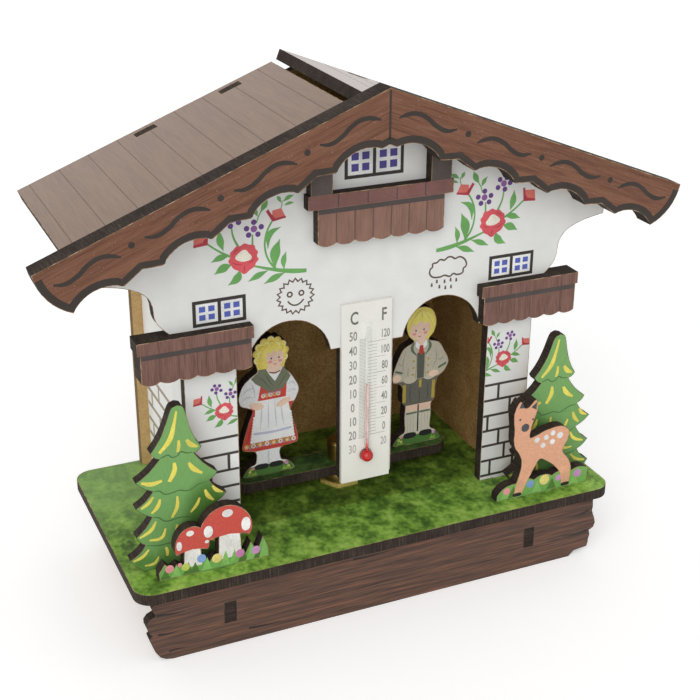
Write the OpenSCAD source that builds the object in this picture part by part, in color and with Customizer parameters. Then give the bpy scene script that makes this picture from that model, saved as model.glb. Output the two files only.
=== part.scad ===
// Alpine weather house: a printed, laser-cut sheet kit whose pair of figures turns on a bimetal coil.
// The front faces -Y, X runs to the viewer's right and Z is up.
// The origin lies on the spindle's axis, at the bottom of the plinth. Sizes are in millimetres.

/* [Sheet] */
// Thickness of every piece cut from sheet
sheet = 3; // [2.6:0.1:3.4]
// Clearance on each side of a tenon in its mortise
tenon_gap = 0.1; // [0.05:0.05:0.2]

/* [Deck] */
// Width of the grass deck
deck_w = 140; // [138:1:150]
// Depth of the grass deck, front to back
deck_d = 68.5; // [66:0.5:74]
// Corner radius of the deck
deck_corner = 5; // [2:0.5:7]
// Distance from the deck's front edge back to the spindle
spindle_setback = 35.3; // [34.5:0.1:36]

/* [Plinth] */
// Height of the plinth boards
plinth_h = 20; // [16:1:26]
// Width of the front plinth board between its log ends
plinth_w = 131; // [126:1:134]
// Width of the plain rear plinth board
rear_plinth_w = 120; // [114:1:124]
// How far the plinth stands back from the deck's front and rear edges
plinth_setback = 3.4; // [2.4:0.2:5]
// Distance from the middle to each plinth side
brace_x = 45; // [40:0.5:52]
// Height of the tenons that pass through the plinth boards
brace_tenon_h = 6; // [4:0.5:8]

/* [House walls] */
// Distance from the deck's front edge to the front wall
facade_setback = 17.8; // [16.8:0.2:19]
// Width of the house across its two pillars
house_w = 100.4; // [98:0.2:103]
// Width of each pillar
pillar_w = 13.9; // [12:0.1:15]
// Width of the post that hangs between the doorways
post_w = 15; // [14.6:0.2:16]
// Clear height under the hanging post
post_clear = 10.2; // [9:0.2:11]
// Height of the doorways' straight sides above the deck
spring_h = 49.9; // [48:0.1:52]
// Span of each doorway's arch
arch_w = 22.9; // [20:0.1:25]
// Rise of each doorway's arch
arch_rise = 10; // [8:0.5:11]
// How far the side walls stand in from the pillars' outer edges
side_inset = 2.9; // [2:0.1:4]
// Width of a tenon that stands in the deck
tenon_w = 5; // [4:0.5:6]
// Half width of the front wall under the eaves
gable_half = 71; // [68:1:74]
// Drop from the roof's underside to the corbels' upper end
corbel_drop = 8.6; // [6:0.1:11]

/* [Roof] */
// Height of the barge boards' apex above the ground
apex_h = 143; // [141:0.5:150]
// Slope of the roof in degrees
pitch = 21.3; // [20:0.1:22.5]
// Distance from the deck's front edge to the front barge board
barge_setback = 6.3; // [4:0.1:7]
// Distance from the middle to the barge boards' tips
barge_half = 87; // [85:0.5:90]
// Depth of the barge boards at their cusps, straight down
barge_depth = 13.7; // [12:0.1:15]
// Step of the scallops on the barge boards, across the house
scallop_step = 21.5; // [20:0.1:22]
// Drop from the barge boards' top edge to the roof's surface, straight down
roof_drop = 4; // [2:0.1:6]
// Distance from the middle to the eaves
eave_half = 77.5; // [74:0.5:82]
// How far the roof reaches behind the deck
roof_overhang = 2.1; // [1:0.1:5]
// How far the right panel's surface runs past the middle at the ridge
ridge_lap = 3; // [1:0.1:4]
// Gap between the two panels at the ridge
ridge_gap = 1.4; // [0.4:0.1:2]
// Width of a tenon that stands in the roof
roof_tab_w = 6; // [5:0.2:7]
// Distance from the middle to each panel's upper tenon
upper_tab_x = 17.8; // [16:0.1:24]
// Distance from the middle to each panel's lower tenon
lower_tab_x = 41.9; // [34:0.1:45]

/* [Side balconies] */
// Distance from a pillar's outer edge in to its balcony's centre
balcony_inset = 2.8; // [1:0.1:4]
// Width of a side balcony's rail
balcony_w = 30; // [27:0.5:31]
// Height of the rail's top above the deck
balcony_top_h = 61.6; // [60.5:0.1:64]
// Height of the rail
balcony_rail_h = 3.3; // [2.5:0.1:4]
// Height of the planks under the rail
balcony_plank_h = 7.6; // [6:0.1:8]

/* [Centre balcony] */
// Width of the centre balcony's rail
centre_w = 40; // [36:0.5:42]
// How far to the right of the middle the centre balcony is glued
centre_shift = 2.4; // [0:0.1:3]
// Drop from the roof's underside at the ridge to its rail's top
centre_drop = 19.8; // [18:0.1:22]
// Height of its rail
centre_rail_h = 3.7; // [3:0.1:5]
// Height of its planks under the rail
centre_plank_h = 9; // [7:0.1:11]
// Width of its two uprights
upright_w = 5.8; // [4:0.1:7]
// Height of its two uprights above the rail
upright_h = 9.5; // [8:0.1:10]

/* [Garden] */
// Height of each fir tree
tree_h = 45.5; // [40:0.5:48]
// Width of each fir tree
tree_w = 27; // [24:0.5:29]
// Distance from the deck's side edge in to each tree's middle
tree_inset = 15; // [14.5:0.1:17]
// Distance from the deck's front edge back to the trees
tree_setback = 11.3; // [10.5:0.1:13]
// Distance from the deck's front edge back to the toadstools and the fawn
front_setback = 5.4; // [4:0.1:6.5]
// Distance from the deck's side edge in to the middle of each front cut-out
front_inset = 22; // [20:0.1:24]
// Length of the grass strip under each front cut-out
grass_l = 29.6; // [26:0.2:32]
// Height of the larger toadstool
toadstool_h = 18; // [15:0.5:20]
// Width of the larger toadstool's cap
toadstool_w = 14.2; // [13:0.1:15]
// Height of the smaller toadstool
small_toadstool_h = 14; // [11:0.2:15]
// Width of the smaller toadstool's cap
small_toadstool_w = 9.2; // [8:0.1:10]
// Height of the fawn
fawn_h = 30.5; // [26:0.5:33]

/* [Figures] */
// Length of the bar that carries the figures
bar_l = 66; // [60:0.5:68]
// Width of the bar
bar_w = 9.2; // [8:0.2:11]
// Distance from the spindle to the woman
woman_x = 21.8; // [20:0.1:23]
// Distance from the spindle to the man
man_x = 24; // [22:0.1:25]
// Height of the woman
woman_h = 42; // [36:0.5:43]
// Height of the man
man_h = 43; // [36:0.5:44]

/* [Mechanism] */
// Diameter of the spindle
spindle_d = 2; // [1.5:0.1:2.4]
// Radial running clearance between hub and spindle
running_gap = 0.05; // [0.02:0.01:0.08]
// Diameter of the hexagonal nut round the spindle's foot, across its corners
nut_d = 12.4; // [11:0.1:13]
// Height of the nut
nut_h = 1.2; // [0.8:0.1:1.6]
// Diameter of the hub's sleeve through the bar
sleeve_d = 3.8; // [3.4:0.1:4.2]
// Diameter of the hub's head on top of the bar
hub_d = 7.4; // [6:0.1:8.5]
// Height of the hub's head
hub_h = 6; // [5:0.1:7]
// Thickness of the bimetal strip
strip_t = 0.4; // [0.3:0.05:0.5]
// Width of the bimetal strip
strip_w = 2.2; // [1.8:0.1:2.6]
// Number of turns in the coil
coil_turns = 3; // [2:1:3]
// Diameter of the pin that holds the coil's outer end
anchor_d = 1.5; // [1:0.1:2]

/* [Thermometer] */
// Width of the thermometer's card
card_w = 14.4; // [12:0.1:14.4]
// Height of the thermometer's card
card_h = 52.5; // [50:0.5:54]
// Thickness of the thermometer's card
card_t = 1.2; // [0.8:0.1:1.6]
// How far to the left of the middle the card is glued
card_shift = 0.6; // [0:0.1:0.8]
// Diameter of the glass tube
tube_d = 1.8; // [1.4:0.1:2.4]
// Diameter of the thread of spirit
thread_d = 0.7; // [0.4:0.05:0.9]
// Diameter of the bulb
bulb_d = 3.4; // [2.6:0.1:4]
// Height of the thread above the bulb's centre
reading_h = 21.5; // [10:0.5:33]

/* [Hidden] */
$fn = 48;
// Small gaps: glued seats, a strip beside its pin, and end play along the spindle
glue_gap = 0.02;
seat_gap = 0.1;
end_play = 0.2;
// Overlap that makes a tenon one with its piece, and how far a cut runs past a face
weld = 0.5;
past = 1;
// Lip of a balcony rail past its planks, at the sides and in the middle
rail_lip = 0.7;
centre_lip = 2.5;
// Sag of the plank ends under the side balconies and the centre balcony
side_sag = 0.7;
centre_sag = 0.8;
// Corbels: foot outside the pillar, waist outside that foot, and the pulls on the curve at eaves and foot
corbel_foot = 3.2;
corbel_waist = 3.6;
corbel_eave_pull = 10;
corbel_foot_pull = 1.5;
// Broken log ends of the plinth: how far each point lies past the board's end, and its share of the height
left_log_end = [[-4.5, 0], [-2.7, 0.02], [-1.2, 0.065], [0, 0.16], [0.6, 0.245], [1.1, 0.325], [1.4, 0.385],
    [0.6, 0.42], [1.4, 0.485], [1.9, 0.56], [1.9, 0.62], [1, 0.68], [-0.7, 0.715], [-0.1, 0.77], [0.3, 0.83],
    [-0.4, 0.915], [0.1, 1]];
right_log_end = [[-6.3, 0], [-4.6, 0.08], [-0.3, 0.1], [0.1, 0.15], [0.1, 0.22], [0.5, 0.29], [0.1, 0.37],
    [1.6, 0.41], [2, 0.48], [1.6, 0.56], [1, 0.64], [0.6, 0.7], [0.8, 0.75], [0.5, 1]];
// Barge boards: tip inside the end, bow of the end, and one scallop's span, rise and landing
tip_inset = 8.6;
tip_bow = 1.8;
scallop_span = 12;
scallop_rise = 2.4;
scallop_land = 16.5;
landing_lift = 1.7;
// Fir trees: hollow under each tip, and bow of each tier's edge
tip_sag = 0.35;
tier_sag = 0.5;
// Garden: places of the toadstools along their strip, and how far each stem stands to the right of its cap
toadstool_x = [3.3, -5.8];
stem_shift = [0.9, 0];
// Garden: place of the fawn along its strip, and the heights of the two strips
fawn_x = 1.7;
blade_foot = 2.4;
turf_h = 4.6;
turf_end_h = 1.8;
turf_dip = 1;
tuft_count = 5;
// Mechanism: turn of the nut, room over the coil, and how far the hub's head covers the spindle
nut_turn = 2;
coil_headroom = 0.4;
head_cover = 2;
hub_chamfer = 0.8;
// Thermometer: card below the post's end, bulb above the card's foot, and tube below the card's top
card_drop = 0.5;
bulb_lift = 7.8;
tube_margin = 5.5;

brace_tenon_z = (plinth_h - brace_tenon_h) / 2;
deck_bottom = plinth_h;
deck_top = deck_bottom + sheet;
front_y = -spindle_setback;
back_y = front_y + deck_d;
facade_y = front_y + facade_setback;
rear_y = back_y - sheet;
barge_y = front_y + barge_setback;
roof_y0 = barge_y + 2 * sheet;
roof_y1 = back_y + roof_overhang;
balcony_y = facade_y - sheet;
slope = tan(pitch);
roof_top0 = apex_h - roof_drop;
roof_under0 = roof_top0 - sheet / cos(pitch);
right_ridge_u = -ridge_lap / cos(pitch);
left_ridge_u = (ridge_lap + sheet * sin(pitch) + ridge_gap) / cos(pitch);

pillar_out = house_w / 2;
pillar_in = pillar_out - pillar_w;
arch_x = (pillar_in + post_w / 2) / 2;
spring_z = deck_top + spring_h;
post_z = deck_top + post_clear;
side_out = pillar_out - side_inset;
side_in = side_out - sheet;
balcony_x = pillar_out - balcony_inset;
balcony_top = deck_top + balcony_top_h;
centre_top = roof_under0 - centre_drop;

sleeve_z = deck_top + nut_h + end_play;
coil_z = sleeve_z + end_play;
bar_z = coil_z + strip_w + coil_headroom;
bar_top = bar_z + sheet;
anchor_r = nut_d / 2 + seat_gap + anchor_d / 2;
coil_r0 = sleeve_d / 2 + seat_gap + strip_t / 2;
coil_r1 = anchor_r - anchor_d / 2 - seat_gap - strip_t / 2;
coil_step = (coil_r1 - coil_r0) / coil_turns;
coil_sides = 24;
coil_end_angle = 90;
spindle_top = bar_top + hub_h - head_cover;

card_z = post_z - card_drop;
card_y = facade_y - card_t;
tube_y = card_y - glue_gap - tube_d / 2;
bulb_z = card_z + bulb_lift;
tube_top = card_z + card_h - tube_margin;

// Points on a circular arc from p to q that bows out by sag to the right of its direction
function bow(p, q, sag, n) =
    let (
        half = norm(q - p) / 2,
        r = (half * half + sag * sag) / (2 * abs(sag)),
        along = (q - p) / (2 * half),
        side = sign(sag) * [along[1], -along[0]],
        centre = (p + q) / 2 - side * (r - abs(sag)),
        turn = 2 * atan2(half, r - abs(sag))
    )
    [for (i = [0 : n])
        let (a = turn * (i / n - 0.5))
        centre + r * (along * sin(a) + side * cos(a))];

// Points on a cubic curve with two control points
function cubic(a, b, c, d, n) =
    [for (i = [0 : n])
        let (t = i / n, s = 1 - t)
        s * s * s * a + 3 * s * s * t * b + 3 * s * t * t * c + t * t * t * d];

// Closed smooth curve through points chosen by hand
function spline(p, n) =
    let (m = len(p))
    [for (k = [0 : m - 1], i = [0 : n - 1])
        let (
            t = i / n,
            p0 = p[(k + m - 1) % m],
            p1 = p[k],
            p2 = p[(k + 1) % m],
            p3 = p[(k + 2) % m]
        )
        0.5 * (2 * p1 + (p2 - p0) * t + (2 * p0 - 5 * p1 + 4 * p2 - p3) * t * t
            + (3 * p1 - p0 - 3 * p2 + p3) * t * t * t)];

// A right-hand half outline followed by its mirror image
function both_sides(p) =
    concat(p, [for (i = [len(p) - 1 : -1 : 0]) if (p[i][0] > 0) [-p[i][0], p[i][1]]]);

// Twice the signed area inside an outline, positive where it runs counter-clockwise
function turn_area(p) =
    [for (i = [0 : len(p) - 1]) cross(p[i], p[(i + 1) % len(p)])] * [for (q = p) 1];

// The same closed outline, counter-clockwise and without points that repeat
function tidy(p) =
    let (q = [for (i = [0 : len(p) - 1]) if (norm(p[i] - p[(i + 1) % len(p)]) > 0.001) p[i]])
    turn_area(q) > 0 ? q : [for (i = [len(q) - 1 : -1 : 0]) q[i]];

function scaled(p, k) = [for (q = p) q * k];
function roof_under(x) = roof_under0 - slope * abs(x);
function barge_line(x, depth) = [x, apex_h - slope * x - depth];

// A sheet piece that stands across the house, with its front face at y
module across(y, t = sheet) {
    translate([0, y + t, 0]) rotate([90, 0, 0]) linear_extrude(t) children();
}

module rounded_rect(w, d, r) {
    square([w - 2 * r, d], center = true);
    square([w, d - 2 * r], center = true);
    for (x = [-1, 1], y = [-1, 1]) translate([x * (w / 2 - r), y * (d / 2 - r)]) circle(r);
}

// Tenon that stands down into the deck below a piece at x
module deck_tenon(x, w = tenon_w) {
    translate([x - w / 2, deck_bottom]) square([w, sheet + weld]);
}

module deck_mortise(x, y, w = tenon_w, d = sheet) {
    translate([x - w / 2 - tenon_gap, y - tenon_gap, deck_bottom - past])
        cube([w + 2 * tenon_gap, d + 2 * tenon_gap, sheet + 2 * past]);
}

// Tenons that stand up into the two roof panels, square to their slope
module roof_tenons() {
    for (s = [-1, 1], x = [upper_tab_x, lower_tab_x])
        translate([s * x, roof_under(x)]) rotate(-s * pitch)
            translate([-roof_tab_w / 2, -weld]) square([roof_tab_w, sheet + weld]);
}

// Deck and plinth

module base_deck() {
    color("olivedrab") difference() {
        translate([0, front_y + deck_d / 2, deck_bottom])
            linear_extrude(sheet) rounded_rect(deck_w, deck_d, deck_corner);
        for (s = [-1, 1]) {
            deck_mortise(s * (pillar_out - pillar_w / 2), facade_y);
            deck_mortise(s * (pillar_out - pillar_w / 2), rear_y);
            deck_mortise(s * tree_x(), front_y + tree_setback);
            deck_mortise(s * front_x(), front_y + front_setback, 2 * tenon_w);
            deck_mortise(s * (side_out + side_in) / 2, side_mid() - tenon_w, sheet, 2 * tenon_w);
        }
        deck_drill(spindle_d);
        anchor_place() deck_drill(anchor_d);
    }
}

module deck_drill(d) {
    translate([0, 0, deck_bottom - past]) cylinder(d = d + 2 * glue_gap, h = sheet + 2 * past);
}

function tree_x() = deck_w / 2 - tree_inset;
function front_x() = deck_w / 2 - front_inset;
function side_mid() = (facade_y + sheet + rear_y) / 2;

module anchor_place() {
    rotate(coil_end_angle) translate([anchor_r, 0, 0]) children();
}

// Points of one broken end of the front plinth board, from its foot up
function log_end(p) = [for (q = p) [plinth_w / 2 + q[0], q[1] * plinth_h]];

function plinth_outline() =
    let (
        right = log_end(right_log_end),
        left = log_end(left_log_end)
    )
    concat(right, [for (i = [len(left) - 1 : -1 : 0]) [-left[i][0], left[i][1]]]);

// A plinth board cut to the outline that is passed to it, with mortises for the plinth sides
module plinth_board(y) {
    difference() {
        across(y) children();
        for (s = [-1, 1])
            translate([s * brace_x - sheet / 2 - tenon_gap, y - past, brace_tenon_z - tenon_gap])
                cube([sheet + 2 * tenon_gap, sheet + 2 * past, brace_tenon_h + 2 * tenon_gap]);
    }
}

module plinth_front() {
    color("saddlebrown") plinth_board(front_y + plinth_setback) polygon(tidy(plinth_outline()));
}

module plinth_back() {
    color("saddlebrown") plinth_board(back_y - plinth_setback - sheet)
        translate([-rear_plinth_w / 2, 0]) square([rear_plinth_w, plinth_h]);
}

module plinth_side(s) {
    y0 = front_y + plinth_setback;
    y1 = back_y - plinth_setback;
    translate([s * brace_x - sheet / 2, 0, 0]) {
        translate([0, y0 + sheet, 0]) cube([sheet, y1 - y0 - 2 * sheet, plinth_h]);
        translate([0, y0, brace_tenon_z]) cube([sheet, y1 - y0, brace_tenon_h]);
    }
}

module plinth_side_left() {
    color("sienna") plinth_side(-1);
}

module plinth_side_right() {
    color("sienna") plinth_side(1);
}

// Walls

// Half outline of a side balcony's silhouette, from the house's middle outward to the right
function balcony_outline() =
    let (
        x0 = balcony_x - balcony_w / 2,
        x1 = balcony_x + balcony_w / 2,
        rail_z = balcony_top - balcony_rail_h
    )
    concat(
        [[x1 - rail_lip, rail_z], [x1, rail_z], [x1, balcony_top], [x0, balcony_top], [x0, rail_z]],
        [[x0 + rail_lip, rail_z]],
        scallops(x0 + rail_lip, x1 - rail_lip, rail_z - balcony_plank_h, 6, side_sag)
    );

// Row of n round plank ends from x0 to x1, hanging down by sag
function scallops(x0, x1, z, n, sag) =
    let (step = (x1 - x0) / n)
    [for (k = [0 : n - 1]) each bow([x0 + k * step, z], [x0 + (k + 1) * step, z], sag, 6)];

// Right half of the front wall's outline, from the gable's apex down and back to the hanging post
function facade_half() =
    let (
        eave = [gable_half, roof_under(gable_half) - corbel_drop],
        foot = [pillar_out + corbel_foot, balcony_top],
        rise = eave[1] - foot[1],
        waist = foot + [corbel_waist, 0.43 * rise]
    )
    concat(
        [[0, roof_under0], [gable_half, roof_under(gable_half)]],
        cubic(eave, eave - [corbel_eave_pull, 0.08 * rise], waist + [0, 0.33 * rise], waist, 10),
        cubic(waist, waist - [0, 0.23 * rise], foot + [corbel_foot_pull, 0.1 * rise], foot, 6),
        [[pillar_out, balcony_top], [pillar_out, deck_top], [pillar_in, deck_top], [pillar_in, spring_z]],
        bow([arch_x + arch_w / 2, spring_z], [arch_x - arch_w / 2, spring_z], arch_rise, 20),
        [[post_w / 2, spring_z], [post_w / 2, post_z]]
    );

// The part of a side balcony's silhouette that stands outside the pillar
module balcony_lobe() {
    intersection() {
        polygon(tidy(balcony_outline()));
        translate([pillar_out - weld, deck_top]) square([balcony_w, apex_h]);
    }
}

module front_wall() {
    color("whitesmoke") across(facade_y) {
        polygon(tidy(both_sides(facade_half())));
        for (s = [0, 1]) mirror([s, 0]) {
            balcony_lobe();
            deck_tenon(pillar_out - pillar_w / 2);
        }
        roof_tenons();
    }
}

function rear_half() = [[0, roof_under0], [pillar_out, roof_under(pillar_out)], [pillar_out, deck_top]];

module rear_wall() {
    color("burlywood") across(rear_y) {
        polygon(tidy(both_sides(rear_half())));
        for (s = [-1, 1]) deck_tenon(s * (pillar_out - pillar_w / 2));
        roof_tenons();
    }
}

module side_wall(s) {
    mirror([s < 0 ? 1 : 0, 0, 0]) {
        translate([0, rear_y, 0]) rotate([90, 0, 0]) linear_extrude(rear_y - facade_y - sheet)
            polygon(tidy([[side_in, deck_top], [side_out, deck_top], [side_out, roof_under(side_out)],
                [side_in, roof_under(side_in)]]));
        translate([side_in, side_mid() - tenon_w, deck_bottom]) cube([sheet, 2 * tenon_w, sheet + weld]);
    }
}

module side_wall_left() {
    color("ghostwhite") side_wall(-1);
}

module side_wall_right() {
    color("ghostwhite") side_wall(1);
}

// Roof

// One scallop of a barge board's lower edge, from its cusp at x back towards the middle
function barge_scallop(x) =
    concat(
        bow(barge_line(x, barge_depth), barge_line(x - scallop_span, barge_depth), scallop_rise, 10),
        [barge_line(x - scallop_land, barge_depth - landing_lift)]
    );

// Right half of a barge board: apex, rounded tip, then the scallops back to the middle
function barge_half_outline() =
    let (cusp_x = barge_half - tip_inset)
    concat(
        [[0, apex_h]],
        bow(barge_line(barge_half, 0), barge_line(cusp_x, barge_depth), -tip_bow, 8),
        [for (k = [0 : 3], p = barge_scallop(cusp_x - k * scallop_step)) if (p[0] > 1.5) p],
        [[0, apex_h - barge_depth]]
    );

module barge_board_front() {
    color("sienna") across(barge_y) polygon(tidy(both_sides(barge_half_outline())));
}

module barge_board_back() {
    color("saddlebrown") across(barge_y + sheet) polygon(tidy(both_sides(barge_half_outline())));
}

// A roof panel on the right-hand slope, from u0 down to u1 along its surface
module roof_panel(u0, u1) {
    difference() {
        translate([0, roof_y1, roof_top0]) rotate([90, 0, 0]) rotate(-pitch)
            translate([u0, -sheet]) linear_extrude(roof_y1 - roof_y0) square([u1 - u0, sheet]);
        for (y = [facade_y, rear_y], x = [upper_tab_x, lower_tab_x])
            translate([x, y - tenon_gap, roof_under(x)]) rotate([0, pitch, 0])
                translate([-roof_tab_w / 2 - tenon_gap, 0, -past])
                    cube([roof_tab_w + 2 * tenon_gap, sheet + 2 * tenon_gap, sheet + 2 * past]);
    }
}

module roof_panel_left() {
    color("rosybrown") mirror([1, 0, 0]) roof_panel(left_ridge_u, eave_half / cos(pitch));
}

module roof_panel_right() {
    color("rosybrown") roof_panel(right_ridge_u, eave_half / cos(pitch));
}

// Balconies

module side_balcony() {
    across(balcony_y) polygon(tidy(balcony_outline()));
}

module left_balcony() {
    color("brown") mirror([1, 0, 0]) side_balcony();
}

module right_balcony() {
    color("brown") side_balcony();
}

// U-shaped outline of the centre balcony, clockwise from its left upright
function centre_outline() =
    let (
        w = centre_w / 2,
        top = centre_top,
        rail_z = top - centre_rail_h,
        plank_w = w - centre_lip,
        out = w - rail_lip,
        in = out - upright_w
    )
    concat(
        [[-out, top + upright_h], [-in, top + upright_h], [-in, top], [in, top]],
        [[in, top + upright_h], [out, top + upright_h], [out, top], [w, top], [w, rail_z]],
        [[plank_w, rail_z]],
        [for (p = scallops(-plank_w, plank_w, rail_z - centre_plank_h, 7, centre_sag)) [-p[0], p[1]]],
        [[-plank_w, rail_z], [-w, rail_z], [-w, top], [-out, top]]
    );

module centre_balcony() {
    color("brown") translate([centre_shift, 0, 0]) across(balcony_y) polygon(tidy(centre_outline()));
}

// Garden cut-outs

// Top of the fir tree, then crown, tips and notches of its two sides, as shares of its half width and height
tree_top = [0.06, 1];
right_crown = [[0.16, 0.99], [0.26, 0.955], [0.21, 0.84]];
right_tips = [[0.49, 0.722], [0.78, 0.547], [0.945, 0.4], [0.95, 0.23], [1, 0.08]];
right_notches = [[0.34, 0.69], [0.61, 0.5], [0.62, 0.335], [0.7, 0.17], [0.74, 0]];
left_crown = [[0.04, 0.99], [0.14, 0.96], [0.15, 0.85]];
left_tips = [[0.49, 0.735], [0.8, 0.572], [0.83, 0.41], [0.86, 0.23], [1, 0.09]];
left_notches = [[0.33, 0.69], [0.49, 0.5], [0.53, 0.34], [0.69, 0.17], [0.74, 0]];

// One side of the tree from its crown down, as if it were the right-hand side
function tree_side(crown, tips, notches) =
    concat(
        cubic(tree_point(crown[0]), tree_point(crown[1]), tree_point(crown[2]), tree_point(tips[0]), 8),
        [for (k = [0 : 4]) each concat(
            bow(tree_point(tips[k]), tree_point(notches[k]), -tip_sag, 3),
            k < 4 ? bow(tree_point(notches[k]), tree_point(tips[k + 1]), tier_sag, 4) : []
        )]
    );

function tree_outline() =
    let (
        right = tree_side(right_crown, right_tips, right_notches),
        left = tree_side(left_crown, left_tips, left_notches)
    )
    concat([tree_point(tree_top)], right, [for (i = [len(left) - 1 : -1 : 0]) [-left[i][0], left[i][1]]]);

function tree_point(p) = [p[0] * tree_w / 2, p[1] * tree_h];

module tree(s) {
    across(front_y + tree_setback) {
        translate([s * tree_x(), deck_top]) polygon(tidy(tree_outline()));
        deck_tenon(s * tree_x());
    }
}

module left_tree() {
    color("forestgreen") tree(-1);
}

module right_tree() {
    color("forestgreen") tree(1);
}

// Toadstool with the middle of its cap over the origin: domed cap on a tapering stem
module toadstool(h, cap_w, shift) {
    rim = [0.44 * cap_w, 0.45 * h];
    dome = cubic(rim, [0.62 * cap_w, 0.62 * h], [0.39 * cap_w, h], [0, h], 10);
    polygon(tidy(concat(both_sides(dome), bow([-rim[0], rim[1]], rim, -0.07 * h, 8))));
    translate([shift, 0])
        polygon([[-0.18 * h, 0], [0.18 * h, 0], [0.16 * h, 0.52 * h], [-0.16 * h, 0.52 * h]]);
}

// Heights of the grass blades along the toadstools' strip
blade_heights = [4.7, 3.6, 4.4, 5.2, 4.2, 5.4, 3.8, 5.8, 6.6];

function blades() =
    let (
        n = len(blade_heights),
        step = grass_l / n
    )
    concat(
        [[-grass_l / 2, 0], [-grass_l / 2, blade_foot]],
        [for (k = [0 : n - 1]) each [
            [-grass_l / 2 + (k + 0.5) * step, blade_heights[k]],
            [-grass_l / 2 + (k + 1) * step, blade_foot]
        ]],
        [[grass_l / 2, 0]]
    );

module mushroom_group() {
    color("tomato") across(front_y + front_setback) {
        translate([-front_x(), deck_top]) {
            polygon(tidy(blades()));
            translate([toadstool_x[0], 0]) toadstool(toadstool_h, toadstool_w, stem_shift[0]);
            translate([toadstool_x[1], 0]) toadstool(small_toadstool_h, small_toadstool_w, stem_shift[1]);
        }
        deck_tenon(-front_x(), 2 * tenon_w);
    }
}

// Outline of a standing fawn, from the front hoof up over the head and back to the hind hoof
fawn_points = [
    [-9.8, 0.6], [-9.2, 3.4], [-8, 7], [-7.4, 10.8], [-8.2, 13.4], [-10.2, 17], [-10.4, 22], [-10.8, 26.8],
    [-9, 30.3], [-7.8, 28.2], [-6.2, 28], [-4, 30], [-3.4, 27], [-4.2, 24], [-5, 21.2], [-5.2, 18.4],
    [-3.2, 18.7], [0, 19.7], [3.4, 20.2], [6, 19.6], [7.6, 17.8], [7.4, 15.6], [6, 13], [6.2, 11.2], [8, 9],
    [9, 6.6], [9.2, 3.6], [8.8, 0.6], [6, 0.6], [5.6, 4.8], [3.6, 7.4], [0.8, 9.8], [-1.4, 10.8],
    [-2.6, 9.4], [-4, 6.8], [-5.6, 3.6], [-6.8, 0.6]
];
fawn_points_h = 30.4;

// Height of the turf at the k-th step from its left end, which is low
function turf_edge(k) = k == 0 ? turf_end_h : turf_h;

// Strip of turf with low round tufts
function turf() =
    let (
        x0 = -grass_l / 2,
        step = grass_l / tuft_count
    )
    concat(
        [[x0, 0]],
        [for (k = [0 : tuft_count - 1])
            each bow([x0 + k * step, turf_edge(k)], [x0 + (k + 1) * step, turf_edge(k + 1)], -turf_dip, 6)],
        [[grass_l / 2, 0]]
    );

module fawn_group() {
    color("sandybrown") across(front_y + front_setback) {
        translate([front_x() + fawn_x, deck_top]) {
            polygon(tidy(turf()));
            polygon(tidy(spline(scaled(fawn_points, fawn_h / fawn_points_h), 3)));
        }
        deck_tenon(front_x(), 2 * tenon_w);
    }
}

// Turning bar and its figures

module figure_bar() {
    color("darkolivegreen") translate([0, 0, bar_z]) difference() {
        linear_extrude(sheet) {
            square([bar_l - bar_w, bar_w], center = true);
            for (s = [-1, 1]) translate([s * (bar_l - bar_w) / 2, 0]) circle(d = bar_w);
        }
        translate([0, 0, -past]) cylinder(d = sleeve_d + 2 * glue_gap, h = sheet + 2 * past);
        for (x = [-woman_x, man_x])
            translate([x - tenon_w / 2 - tenon_gap, -sheet / 2 - tenon_gap, -past])
                cube([tenon_w + 2 * tenon_gap, sheet + 2 * tenon_gap, sheet + 2 * past]);
    }
}

// Outline of the woman: base, stockings, wide skirt, puffed sleeves and head
woman_points = [
    [-7, 0], [-7.6, 1.8], [-5.8, 3.4], [-4.3, 4.2], [-4.3, 7.6], [-7.4, 8.5], [-8.2, 9.8], [-7.2, 13.6],
    [-5.8, 18], [-4.9, 20.4], [-6.4, 21.6], [-8.3, 22.6], [-8.8, 25], [-7.6, 28.4], [-5.2, 30.6], [-3.2, 32],
    [-3.7, 34.4], [-3.8, 37.2], [-2.2, 40], [0.8, 41.2], [3.8, 40], [5.4, 37.2], [5.2, 34.4], [4.6, 32],
    [6, 30.4], [7.6, 28], [8.8, 25], [7.8, 22], [6.2, 19], [7.4, 14.4], [8.4, 9.8], [7.4, 8.4], [3.2, 7.6],
    [3.2, 4.2], [5, 3.4], [6.6, 1.8], [6, 0]
];
woman_points_h = 42;
// Curls round the woman's head: their size and number, and the arc that their centres lie on
curl_d = 2.4;
curl_count = 11;
curl_centre = [0.8, 36.7];
curl_arc_r = 4.1;
curl_arc = [-48, 228];

// Outline of the man: base, shoes, bare knees, short trousers, jacket with bent arms, round head
man_points = [
    [-6.8, 0], [-7.2, 1.8], [-5.8, 3.4], [-4.2, 4.6], [-4.4, 9], [-4.2, 12.6], [-5.2, 14], [-5.2, 18.6],
    [-6.4, 20.2], [-8.2, 20.8], [-8.4, 23.2], [-7, 27.4], [-5, 31], [-2, 32.6], [-3.6, 34.6], [-4.4, 37.8],
    [-3, 41.6], [0.4, 43], [3.6, 41.8], [5, 38.4], [4.4, 34.8], [2.8, 32.6], [6, 31.4], [8, 28.2],
    [9.4, 24.8],
    [8, 21.8], [6, 20.2], [5.4, 17], [5.2, 13.6], [4.2, 12.4], [4.2, 8.6], [4, 4.6], [5.6, 3.4], [6.8, 1.8],
    [6.4, 0]
];
man_points_h = 43;

module figure(x, points, k) {
    across(-sheet / 2) translate([x, bar_top]) {
        intersection() {
            polygon(tidy(spline(scaled(points, k), 3)));
            translate([-bar_l / 2, 0]) square([bar_l, apex_h]);
        }
        translate([-tenon_w / 2, -sheet]) square([tenon_w, sheet + weld]);
        children();
    }
}

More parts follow.
